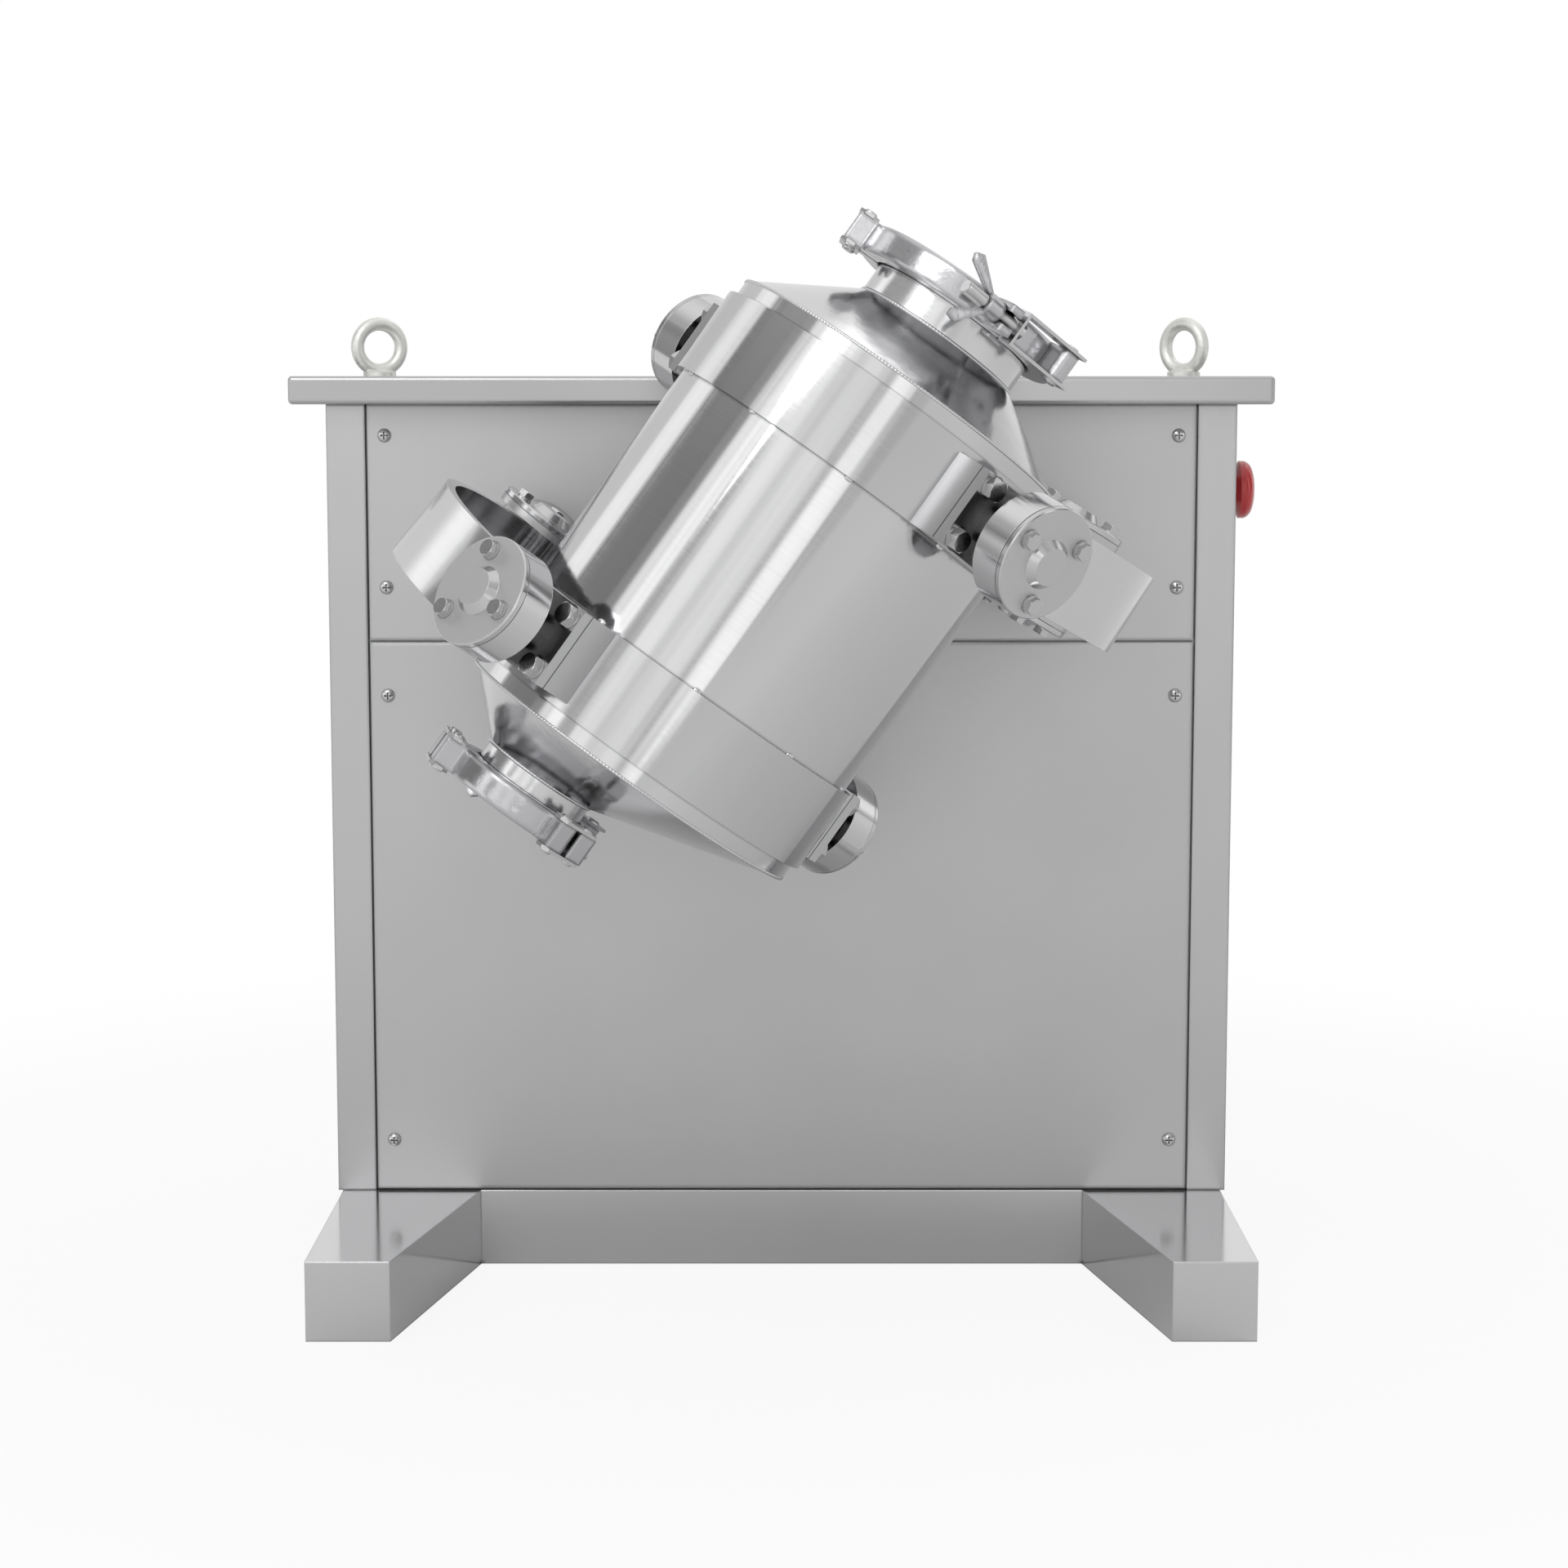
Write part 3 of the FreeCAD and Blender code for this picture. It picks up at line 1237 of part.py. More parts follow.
    def links(self):
        """Two link plates over each joint between segments, their rivets and the swing pin."""
        name = self.end + "_clamp_links"
        half, line, reach = S.clamp_half_height, self.clamp_line, S.link_half_length
        low = line - 7
        outline = [(low, -reach + 4), (low + 4, -reach), (line + 3, -reach), (line + 7, -reach + 4),
                   (line + 7, reach - 4), (line + 3, reach), (low + 4, reach), (low, reach - 4)]
        holes = [(line, place, S.link_pin_radius) for place in (-S.link_pin_place, S.link_pin_place)]
        plate = padded(name + "_plate", "XY_Plane", outline, S.link_thickness, holes)
        plates = [turned_about_z(angle) * FreeCAD.Placement(V(0, 0, z.value), UPRIGHT)
                  for angle in (120, 240) for z in (half, -half - S.link_thickness)]
        rivet = self.rivet(name, half + S.link_thickness)
        swing = self.rivet(name + "_swing", self.swing_strap_top())
        pins = [shifted(turned_about_z(angle), x=line, y=place) for angle, place in self.link_pins()]
        subpart(name, group(name + "_set", copies(name + "_plates", plate, plates),
                            copies(name + "_rivets", rivet, pins),
                            put(swing, (line, self.pin_place, 0))), self.clamp_place)

    def rivet(self, name, half):
        """A pin with a head at each end."""
        head, rise = S.link_rivet_radius, S.link_rivet_height
        return revolved(name + "_rivet", [
            (0, -half - rise), (head - 1, -half - rise), (head, -half - rise / 2), (head, -half),
            (S.link_pin_radius, -half), (S.link_pin_radius, half), (head, half),
            (head, half + rise / 2), (head - 1, half + rise), (0, half + rise)])

    def swing_strap_top(self):
        return S.clamp_half_height + S.face_clearance + S.swing_strap

    def swing_bolt(self):
        """A U-shaped strap on the swing pin, with the threaded bolt in its cross plate."""
        name = self.end + "_swing"
        top = self.swing_strap_top()
        inner = top - S.swing_strap
        line, start = self.clamp_line, -S.swing_strap_start
        low = line - 6 + S.face_clearance
        end = self.pin_place + S.swing_tail
        sides = [box(f"{name}_side_{index}", (low, start, z),
                     (line + S.swing_strap_rise, end, z + S.swing_strap))
                 for index, z in enumerate((inner, -top))]
        cross = box(name + "_cross", (low, start, -top),
                    (line + S.swing_strap_rise, start + S.swing_strap, top))
        bolt = cylinder(name + "_thread", S.swing_bolt_radius, S.swing_bolt_end - S.swing_strap_start + 1,
                        (line, start + 1, 0), AGAINST_Y)
        head = cylinder(name + "_bolt_head", 5.5, 5, (line, start + S.swing_strap, 0), ALONG_Y)
        hole = cylinder(name + "_pin_hole", S.link_pin_radius + S.running_clearance, top * 2,
                        (line, self.pin_place, -top))
        subpart(name + "_bolt", cut(name + "_bolt_cut", fuse(name + "_blank", *sides, cross, bolt, head),
                                    hole), self.clamp_place)

    def wing_nut(self):
        """The wing nut, its wings swept back past the end of its collar."""
        name = self.end + "_wing"
        start, sweep, reach = S.wing_start, S.wing_sweep, S.wing_reach
        radius = S.wing_collar_radius
        collar = tube(name + "_collar", radius, S.swing_bolt_radius + S.running_clearance,
                      S.wing_collar_length)
        wings = []
        for side in (-1, 1):
            outline = [(side * (S.swing_bolt_radius + 1), S.wing_collar_length),
                       (side * (S.swing_bolt_radius + 1), S.wing_collar_length - 6),
                       (side * (radius + 1), start), (side * reach, sweep - 3),
                       (side * (reach - 2), sweep + 3), (side * (reach - 7), sweep + 2)]
            if side > 0:
                outline = outline[::-1]
            wings.append(padded(f"{name}_{side}".replace("-", "n"), "XZ_Plane", outline,
                                S.wing_thickness, middle=True))
        bore = cylinder(name + "_bore", S.swing_bolt_radius + S.running_clearance,
                        S.wing_collar_length * 4, (0, 0, -1))
        seat = shifted(self.clamp_place, x=self.clamp_line, y=-S.lug_far - S.face_clearance,
                       turn=AGAINST_Y)
        turn = turned_about_z(90 + S.wing_turn)
        subpart(name + "_nut", cut(name + "_nut_cut", fuse(name + "_nut_blank", collar, *wings), bore),
                seat * turn)


JOINT_CAP = joint_cap("joint_cap")
FORK_BOLT = bolt_and_washer("fork_bolt", S.cap_bolt_radius, S.cap_bolt_hex, S.cap_bolt_head,
                            S.cap_thickness + S.arm_thickness,
                            S.cap_washer_radius, S.cap_washer_thickness)
TRUNNION_BOLT = bolt_and_washer("trunnion_bolt", S.cap_bolt_radius, S.cap_bolt_hex, S.cap_bolt_head,
                                S.cap_thickness + S.cap_bolt_grip,
                                S.cap_washer_radius, S.cap_washer_thickness)


def build():
    linkage = Linkage()
    base_frame()
    cabinet_frame()
    front_panels()
    other_panels()
    panel_screws()
    top_slab()
    lifting_eyes()
    emergency_stop()
    shaft_support()
    gearmotor()
    control_box()
    cable_gland()
    fork("drive", linkage.drive_fork())
    fork("driven", linkage.driven_fork())
    stirrup("drive", linkage.drive_stirrup())
    stirrup("driven", linkage.driven_stirrup())
    barrel = linkage.barrel()
    barrel_shell(barrel)
    trunnions(barrel)
    lower_end = barrel * FreeCAD.Placement(
        V(0, 0, 0), FreeCAD.Rotation(V(1, -1, 0), V(-1, -1, 0), V(0, 0, -1), "ZXY"))
    mouths = [Mouth("upper", barrel), Mouth("lower", lower_end)]
    for mouth in mouths:
        mouth.cone_shell()
        mouth.lid()
        mouth.clamp()
        mouth.links()
        mouth.swing_bolt()
        mouth.wing_nut()
    subpart("gaskets", group("gasket_set", *[
        copies(mouth.end + "_gasket_copy", mouth.gasket(), [mouth.seat]) for mouth in mouths]))


def check():
    """Stops if any object failed or any sub-part is empty or invalid."""
    doc.recompute()
    for item in doc.Objects:
        if "Invalid" in item.State or "Error" in item.State:
            raise RuntimeError(f"{item.Name} failed: {item.State}")
    for item in SUBPARTS:
        if item.Shape.isNull() or not item.Shape.isValid() or item.Shape.Volume <= 0:
            raise RuntimeError(f"{item.Label} has no valid shape")


def write():
    os.makedirs("parts", exist_ok=True)
    for item in SUBPARTS:
        item.Shape.exportStep(f"parts/{item.Label}.step")


build()
check()
write()
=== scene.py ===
"""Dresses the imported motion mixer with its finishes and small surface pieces, and stages it.

Everything is in metres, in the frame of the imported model: X to the right, Y away from
the viewer, Z up, with the origin on the floor under the middle of the cabinet.
"""
import bpy
import bmesh
import json
import math
from bpy.props import FloatProperty, FloatVectorProperty, IntProperty, PointerProperty
from mathutils import Matrix, Vector


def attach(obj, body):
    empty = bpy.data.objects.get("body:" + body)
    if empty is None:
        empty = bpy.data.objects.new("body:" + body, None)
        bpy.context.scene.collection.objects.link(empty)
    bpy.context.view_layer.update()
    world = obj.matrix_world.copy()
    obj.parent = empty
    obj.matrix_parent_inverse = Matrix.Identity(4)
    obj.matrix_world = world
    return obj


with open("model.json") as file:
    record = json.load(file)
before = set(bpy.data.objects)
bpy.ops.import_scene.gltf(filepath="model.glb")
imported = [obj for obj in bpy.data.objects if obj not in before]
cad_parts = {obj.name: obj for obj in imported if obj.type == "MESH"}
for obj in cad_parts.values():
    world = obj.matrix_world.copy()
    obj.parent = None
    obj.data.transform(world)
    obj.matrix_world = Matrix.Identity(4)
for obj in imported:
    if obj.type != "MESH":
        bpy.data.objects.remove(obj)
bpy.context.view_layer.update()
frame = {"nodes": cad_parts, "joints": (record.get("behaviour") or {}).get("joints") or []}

bl_info = {
    "name": "Motion Mixer",
    "version": (1, 0, 0),
    "blender": (4, 5, 0),
    "location": "View3D > Sidebar > Mixer",
    "description": "Finishes, weld seams, threads and studio of a three-dimensional motion mixer",
    "category": "Object",
}

JOINTS = {joint["name"]: joint for joint in frame["joints"]}
SIDES = ("drive", "driven")


def linear(hex_colour):
    """The linear RGBA of an sRGB hex colour."""
    value = hex_colour.lstrip("#")
    channels = [int(value[i:i + 2], 16) / 255 for i in (0, 2, 4)]
    return [c / 12.92 if c <= 0.04045 else ((c + 0.055) / 1.055) ** 2.4 for c in channels] + [1.0]


def colour(name, description, hex_colour):
    return FloatVectorProperty(name=name, description=description, subtype="COLOR", size=4,
                               min=0.0, max=1.0, default=linear(hex_colour))


def length(name, description, metres):
    return FloatProperty(name=name, description=description, default=metres, unit="LENGTH",
                         subtype="DISTANCE", precision=5)


class MixerFinish(bpy.types.PropertyGroup):
    """Colours and surface sizes of the metals and plastics."""
    sheet: colour("Cabinet sheet", "Bead-blasted stainless sheet", "#C9C9CA")
    slab: colour("Slab", "Ground stainless slab", "#BEBEBF")
    shell: colour("Barrel", "Brushed and buffed stainless shell", "#D2D2D3")
    band: colour("Bands", "Brushed stainless bands round the barrel", "#CBCBCC")
    base: colour("Base", "Ground stainless plinth", "#E4E4E5")
    clamp: colour("Clamps", "Tumbled cast stainless", "#C6C6C8")
    mirror: colour("Polished parts", "Mirror-polished stainless", "#DCDCDD")
    turned: colour("Turned parts", "Turned stainless", "#CFCFD0")
    fastener: colour("Fasteners", "Stainless bolts and screws", "#CDCDCD")
    cast: colour("Lifting eyes", "Galvanised casting", "#F0F0EC")
    # The hub tone is painted shade on the trunnion hubs, and also the grease of the dark line where pad
    # and plate meet
    hub: colour("Trunnion hubs", "Blackened steel and old grease", "#606061")
    bearing: colour("Bearings", "Ground bearing steel", "#B9BBBE")
    primer: colour("Inner plates", "Grey primer", "#6E7175")
    enamel: colour("Gearmotor", "Hammered enamel", "#4C5F78")
    powder: colour("Control box", "Powder coat", "#D8D8D4")
    red: colour("Stop button", "Glossy red ABS", "#C8141B")
    body_grey: colour("Stop collar", "Grey polyamide", "#8C8E90")
    black: colour("Black plastic", "Black polyamide", "#1C1C1D")
    rubber: colour("Gaskets", "White silicone", "#E4E3DE")
    blast_grain: length("Blast grain", "Size of the blasted texture", 0.0016)
    brush_line: length("Brush line", "Width of a brushed line round the barrel", 0.0011)
    roll_depth: length("Rolling waves", "Depth of the waves in the rolled shell and bands", 0.0003)
    turning_pitch: length("Turning pitch", "Distance between turning marks", 0.0009)
    edge_round: length("Edge rounding", "Radius of the folded and cast edges", 0.0015)
    edge_break: length("Edge break", "Width of the broken edges of machined parts", 0.0005)
    # How far the painted shade from occlusion reaches into joints, corners and recesses
    joint_shade_depth: length("Gap depth", "How far grime reaches in the joints of the sheets", 0.004)


class MixerDetail(bpy.types.PropertyGroup):
    """Sizes of the welds and threads."""
    bead_radius: length("Weld bead", "Half width of the weld bead", 0.0011)
    bead_pitch: length("Weld ripple", "Distance between weld ripples", 0.0024)
    tack_radius: length("Tack weld", "Half width of a tack weld", 0.0019)
    tacks: IntProperty(name="Tacks", description="Tack welds round each band edge", default=10, min=0)
    thread_pitch: length("Thread pitch", "Pitch of the swing bolt thread", 0.00125)
    thread_depth: length("Thread depth", "Height of the thread over the shank", 0.0007)


class MixerStage(bpy.types.PropertyGroup):
    """The floor, the camera and the light."""
    floor: colour("Floor", "Plain pale floor", "#D6D6D6")
    # Painted shade on the floor under the machine, which only the gloss sees
    under_shade: colour("Grey card", "Card under the machine, seen by the gloss alone", "#BCBCBC")
    floor_size: length("Floor size", "Side of the floor", 24.0)
    key_power: FloatProperty(name="Key light", description="Power of the key softbox", default=14.0,
                             unit="POWER", min=0.0)
    camera_x: length("Camera X", "Camera position across", 0.0018)
    camera_y: length("Camera Y", "Camera position in front", -2.519)
    camera_z: length("Camera Z", "Camera height", 0.649)
    camera_pitch: FloatProperty(name="Camera pitch", description="Downward tilt", subtype="ANGLE",
                                default=math.radians(6.97))
    focal: FloatProperty(name="Focal length", description="Lens in millimetres", default=75.0)


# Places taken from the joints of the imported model

def vector(name, key):
    return Vector(JOINTS[name][key])


class SwingBolt:
    """The shank's radius, and the ends of its two threads from the middle of the wing nut."""
    shank = 0.0040
    threaded = ((-0.0143, -0.0006), (0.0127, 0.0295))


class Barrel:
    """The barrel's own frame: X and Y along the two trunnion axes, Z towards the upper mouth."""
    axis = vector("upper_bolt_swing", "axis").normalized()
    y = vector("upper_trunnions", "axis").normalized()
    x = y.cross(axis)
    upper = vector("upper_trunnions", "pos_m")
    half_pitch = 0.105
    centre = upper - axis * half_pitch
    radius = 0.120
    half_length = 0.1475
    band_inner = 0.079
    pad_face = 0.140
    hub_start = 0.1477
    # Weld radius, height and offset of each neck in the frame of its own end
    upper_neck = (0.057, 0.1875, 0.0)
    lower_neck = (0.0385, 0.1835, 0.045)


def axes_matrix(x, y, z, origin):
    """The matrix of a frame from its axes and origin."""
    matrix = Matrix((x, y, z)).transposed().to_4x4()
    matrix.translation = origin
    return matrix


def frame_along(axis, origin):
    """A frame with Z along an axis."""
    z = axis.normalized()
    x = z.orthogonal().normalized()
    return axes_matrix(x, z.cross(x), z, origin)


def pin_frame(side):
    """A frame with Z along a fork's pin."""
    return frame_along(vector(f"{side}_fork_pin", "axis"), vector(f"{side}_fork_pin", "pos_m"))


def shaft_frame(side):
    """A frame with Z along a fork's shaft."""
    return frame_along(Vector((0, 1, 0)), vector(f"{side}_shaft_turn", "pos_m"))


BARREL_FRAME = axes_matrix(Barrel.x, Barrel.y, Barrel.axis, Barrel.centre)
HALF_ROOT = math.sqrt(0.5)
LOWER_FRAME = BARREL_FRAME @ Matrix(((HALF_ROOT, -HALF_ROOT, 0, 0), (-HALF_ROOT, -HALF_ROOT, 0, 0),
                                     (0, 0, -1, 0), (0, 0, 0, 1)))
WORLD_FRAME = Matrix.Identity(4)
LOWER_TRUNNION = Barrel.centre - Barrel.axis * Barrel.half_pitch


# Materials

WHITE = (1.0, 1.0, 1.0, 1.0)
MARK_SCALE = 0.314           # wave scale that gives one turning mark to each step of the grain
MARK_WOBBLE = 0.6            # how far a turning mark strays from its circle
NOISE_SPAN = (0.25, 0.75)    # the part of its range that a noise mostly fills
METAL_CLOUDS = (9.0, 0.93)   # scale of a metal's clouds, and the tone of the darkest
PAINT_CLOUDS = (25.0, 0.88)  # the same of a coating
PAINT_SPREAD = (0.85, 1.15)  # least and most of a coating's roughness, as shares of the given one
SHELTER_SPAN = (0.35, 0.75)  # openness of a joint, from full of painted shade to none
GAP_SHADE = 0.08                 # tone of the painted shade deep in a joint
JOINT_LINE = 0.0004          # half width of the dark line where two pieces meet
FACE_SPAN = (0.94, 0.98)     # how square to its axis a face is, from a rim to an end face
WIDE_EDGE = 2.5              # radius of the sheets' folds and the castings, as edge roundings
POST_EDGE = 2.0              # the same of the posts


def feed(tree, item, inputs):
    """Sets a node's inputs, each to a value or to another node's output."""
    for key, value in inputs.items():
        if isinstance(value, bpy.types.NodeSocket):
            tree.links.new(value, item.inputs[key])
        else:
            item.inputs[key].default_value = value


def add(tree, kind, inputs=None, **settings):
    """Adds one node with its settings and inputs."""
    item = tree.nodes.new(kind)
    for key, value in settings.items():
        setattr(item, key, value)
    feed(tree, item, inputs or {})
    return item


def noise(tree, place, scale, detail=2.0):
    """A soft noise between 0 and 1."""
    return add(tree, "ShaderNodeTexNoise",
               {"Vector": place, "Scale": scale, "Detail": detail}).outputs["Fac"]


def stretch(tree, value, span=(0.0, 1.0), result=(0.0, 1.0), smooth=False):
    """A value whose span is stretched to a new one, with soft ends where it is smooth."""
    ends = {"From Min": span[0], "From Max": span[1], "To Min": result[0], "To Max": result[1]}
    return add(tree, "ShaderNodeMapRange", {"Value": value, **ends},
               interpolation_type="SMOOTHSTEP" if smooth else "LINEAR").outputs["Result"]


def calculate(tree, operation, *terms):
    """The result of one operation on its terms."""
    return add(tree, "ShaderNodeMath", dict(enumerate(terms)), operation=operation).outputs["Value"]


def blend(tree, factor, first, second):
    """A colour between two others."""
    return add(tree, "ShaderNodeMix", {"Factor": factor, 6: first, 7: second},
               data_type="RGBA").outputs[2]


def relief(tree, height, depth, normal=None):
    """The normal of a raised pattern, laid over another normal where one is given."""
    below = {} if normal is None else {"Normal": normal}
    return add(tree, "ShaderNodeBump",
               {"Height": height, "Strength": 1.0, "Distance": depth, **below}).outputs["Normal"]


def dimmed(tint, share):
    """A darker tone of a colour."""
    return [c * share for c in tint[:3]] + [1.0]


def surface_of(material):
    """A material's tree, its Principled shader and the outputs of a new coordinates node."""
    tree = material.node_tree
    return tree, tree.nodes["Principled BSDF"], add(tree, "ShaderNodeTexCoord").outputs


def blank_material(name):
    """A material with its tree, its Principled shader and the object's own coordinates."""
    material = bpy.data.materials.new(name)
    material.use_nodes = True
    tree, shader, coordinates = surface_of(material)
    return material, tree, shader, coordinates["Object"]


def source(shader, key):
    """The output that feeds one of the shader's inputs."""
    return shader.inputs[key].links[0].from_socket


def local_place(tree, place, matrix, size):
    """Coordinates in a frame, counted in steps of the given size."""
    return add(tree, "ShaderNodeMapping", {
        "Vector": place, "Location": matrix.to_translation(),
        "Rotation": matrix.to_euler("XYZ"), "Scale": size}, vector_type="TEXTURE").outputs["Vector"]


def metal(name, tint, matrix, roughness, spread, grain, bump, rings=False, edge=0.0, gap=0.0):
    """A bare metal: its grain varies roughness and relief, broad clouds vary its tone.

    The grain is the pattern's size along the frame's axes. Rings are turning marks about
    the frame's Z, and otherwise the grain is a stretched noise, as brushing leaves it.
    An edge radius rounds the corners, and a gap size paints shade into narrow joints, corners and
    recesses.
    """
    material, tree, shader, place = blank_material(name)
    spot = local_place(tree, place, matrix, grain)
    if rings:
        pattern = add(tree, "ShaderNodeTexWave",
                      {"Vector": spot, "Scale": MARK_SCALE, "Distortion": MARK_WOBBLE,
                       "Detail": 1.0},
                      wave_type="RINGS", rings_direction="Z").outputs["Fac"]
    else:
        pattern = noise(tree, spot, 1.0, detail=3.0)
    scale, darkest = METAL_CLOUDS
    clouds = noise(tree, place, scale)
    tone = blend(tree, clouds, tint, dimmed(tint, darkest))
    # Painted shade: occlusion darkens the colour deep in joints, corners and recesses
    if gap:
        shelter = add(tree, "ShaderNodeAmbientOcclusion", {"Distance": gap}, samples=4).outputs["AO"]
        painted_shade = stretch(tree, shelter, SHELTER_SPAN, (1.0, 0.0))
        tone = blend(tree, painted_shade, tone, dimmed(tint, GAP_SHADE))
    rough = stretch(tree, pattern, NOISE_SPAN, (roughness - spread, roughness + spread))
    corner = None
    if edge:
        corner = add(tree, "ShaderNodeBevel", {"Radius": edge}, samples=4).outputs["Normal"]
    feed(tree, shader, {
        "Base Color": tone, "Metallic": 1.0,
        "Roughness": calculate(tree, "MULTIPLY_ADD", clouds, spread, rough),
        "Normal": relief(tree, pattern, bump, corner)})
    return material


def shaded_hub_and_grease_line(material, matrix, hub, seam, tint):
    """Paints shade on what stands further than the hub from the frame's Z axis, and draws a thin dark
    joint line.

    Both distances are along the frame's X or Y, whichever is the larger.
    """
    tree, shader, coordinates = surface_of(material)
    local = local_place(tree, coordinates["Object"], matrix, [1.0] * 3)
    along = add(tree, "ShaderNodeSeparateXYZ", {"Vector": local}).outputs
    out = calculate(tree, "MAXIMUM", *(calculate(tree, "ABSOLUTE", along[key]) for key in "XY"))
    # Painted shade on the hubs, and a dark grease line at the joint of pad and plate
    dark = calculate(tree, "MAXIMUM", calculate(tree, "GREATER_THAN", out, hub),
                     calculate(tree, "COMPARE", out, seam, JOINT_LINE))
    feed(tree, shader, {"Base Color": blend(tree, dark, source(shader, "Base Color"), tint)})
    return material


def rolled(material, matrix, grain, depth):
    """Adds the shallow lengthwise waves that the rolls leave in a sheet."""
    tree, shader, coordinates = surface_of(material)
    waves = noise(tree, local_place(tree, coordinates["Object"], matrix, grain), 1.0, detail=1.0)
    feed(tree, shader, {"Normal": relief(tree, waves, depth, source(shader, "Normal"))})
    return material


def faced(material, axis, roughness):
    """Gives the faces square to an axis a duller, faced finish, and leaves the rims bright."""
    tree, shader, coordinates = surface_of(material)
    facing = add(tree, "ShaderNodeVectorMath", {0: coordinates["Normal"], 1: axis},
                 operation="DOT_PRODUCT").outputs["Value"]
    end = stretch(tree, calculate(tree, "ABSOLUTE", facing), FACE_SPAN)
    mix = add(tree, "ShaderNodeMix", {"Factor": end, 2: source(shader, "Roughness"), 3: roughness})
    feed(tree, shader, {"Roughness": mix.outputs[0]})
    return material


def coating(name, tint, roughness, grain, bump, coat=0.0, sheen=0.0):
    """A painted, moulded or rubber surface with a fine relief and a little tone change."""
    material, tree, shader, place = blank_material(name)
    skin = noise(tree, place, 1.0 / grain)
    scale, darkest = PAINT_CLOUDS
    least, most = (min(roughness * share, 1.0) for share in PAINT_SPREAD)
    feed(tree, shader, {
        "Base Color": blend(tree, noise(tree, place, scale), tint, dimmed(tint, darkest)),
        "Roughness": stretch(tree, skin, result=(least, most)),
        "Normal": relief(tree, skin, bump), "Coat Weight": coat, "Sheen Weight": sheen})
    return material


def dress(names, material):
    """Gives CAD nodes a material."""
    for name in names:
        item = frame["nodes"][name]
        for slot in item.material_slots:
            slot.material = material


# Meshes of the small pieces

BEAD_SWELL = 0.16   # how much a weld ripple swells its bead
BEAD_SINK = 0.6     # share of a bead's half width that lies in the sheet
RIPPLE_STEPS = 4    # steps round the ring to each ripple
LEAST_RIPPLES = 12  # ripples of the smallest ring
TACK_LENGTH = 1.7   # length of a tack weld against its width
TACK_HEIGHT = 0.8   # height of a tack weld against its half width
TACK_TURN = 0.35    # place of the first tack weld, as a share of their spacing
TACK_OVERLAP = 0.0004   # how far a tack weld's middle lies inside its band's edge
TACK_SINK = 0.0001      # how deep a tack weld's rim lies in the sheet
# Points of a thread's ridge: along it and out from the shank, as shares of its width and depth
THREAD_RIDGE = ((-0.5, -0.1), (-0.12, 1.0), (0.12, 1.0), (0.5, -0.1))
THREAD_WIDTH = 0.8      # width of the ridge as a share of the pitch
THREAD_RUN_IN = 0.5     # turns in which the ridge grows to its full depth
# Turns a frame so that its Z points along the old X
FACE_OUT = Matrix(((0, 0, 1, 0), (1, 0, 0, 0), (0, 1, 0, 0), (0, 0, 0, 1)))


def new_piece(name, vertices, faces, material, body):
    """A mesh piece that rides on a body."""
    mesh = bpy.data.meshes.new(name)
    mesh.from_pydata([tuple(v) for v in vertices], [], faces)
    work = bmesh.new()
    work.from_mesh(mesh)
    bmesh.ops.recalc_face_normals(work, faces=work.faces)
    work.to_mesh(mesh)
    work.free()
    for polygon in mesh.polygons:
        polygon.use_smooth = True
    mesh.materials.append(material)
    item = bpy.data.objects.new(name, mesh)
    bpy.context.scene.collection.objects.link(item)
    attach(item, body)
    return item


def grid_faces(rows, columns, closed_rows):
    """Quads of a grid whose columns close on themselves, and whose rows may too."""
    faces = []
    for row in range(rows if closed_rows else rows - 1):
        after = (row + 1) % rows
        for column in range(columns):
            beside = (column + 1) % columns
            faces.append((row * columns + column, row * columns + beside,
                          after * columns + beside, after * columns + column))
    return faces


def weld_ring(matrix, radius, height, bead, pitch, sides=8):
    """A rippled weld bead round a circle of the frame."""
    ripples = max(int(2 * math.pi * radius / pitch), LEAST_RIPPLES)
    steps = ripples * RIPPLE_STEPS
    vertices = []
    for step in range(steps):
        turn = 2 * math.pi * step / steps
        swell = 1.0 + BEAD_SWELL * math.cos(ripples * turn)
        for side in range(sides):
            angle = 2 * math.pi * side / sides
            reach = radius + bead * swell * math.cos(angle)
            vertices.append(matrix @ Vector((reach * math.cos(turn), reach * math.sin(turn),
                                             height + bead * swell * math.sin(angle))))
    return vertices, grid_faces(steps, sides, True)


def joined(parts):
    """One vertex and face list out of several."""
    vertices, faces = [], []
    for part_vertices, part_faces in parts:
        start = len(vertices)
        vertices += part_vertices
        faces += [tuple(start + index for index in face) for face in part_faces]
    return vertices, faces


def screw_thread(matrix, radius, start, end, pitch, depth, steps=20):
    """A thread ridge wound along the frame's Z over a shank of the given radius."""
    rows = int((end - start) / pitch * steps)
    vertices = []
    for row in range(rows + 1):
        turn = 2 * math.pi * row / steps
        rise = depth * min(min(row, rows - row) / steps / THREAD_RUN_IN, 1.0)
        for along, out in THREAD_RIDGE:
            reach = radius + rise * out
            height = start + pitch * (row / steps + along * THREAD_WIDTH)
            vertices.append(matrix @ Vector((reach * math.cos(turn), reach * math.sin(turn), height)))
    width = len(THREAD_RIDGE)
    bases = [row * width + column for row in range(rows) for column in range(width - 1)]
    return vertices, [(base, base + 1, base + width + 1, base + width) for base in bases]


def dome(matrix, radius, flatness, rings=4, segments=10):
    """A low rounded lump on the frame's XY plane, as a tack weld leaves it."""
    vertices = []
    for ring in range(rings + 1):
        tilt = math.pi / 2 * ring / rings
        for segment in range(segments):
            turn = 2 * math.pi * segment / segments
            vertices.append(matrix @ Vector((radius * math.cos(tilt) * math.cos(turn) * TACK_LENGTH,
                                             radius * math.cos(tilt) * math.sin(turn),
                                             radius * flatness * math.sin(tilt) - TACK_SINK)))
    return vertices, grid_faces(rings + 1, segments, False)


def aim(item, target):
    direction = Vector(target) - item.location
    item.rotation_euler = direction.to_track_quat("-Z", "Y").to_euler()


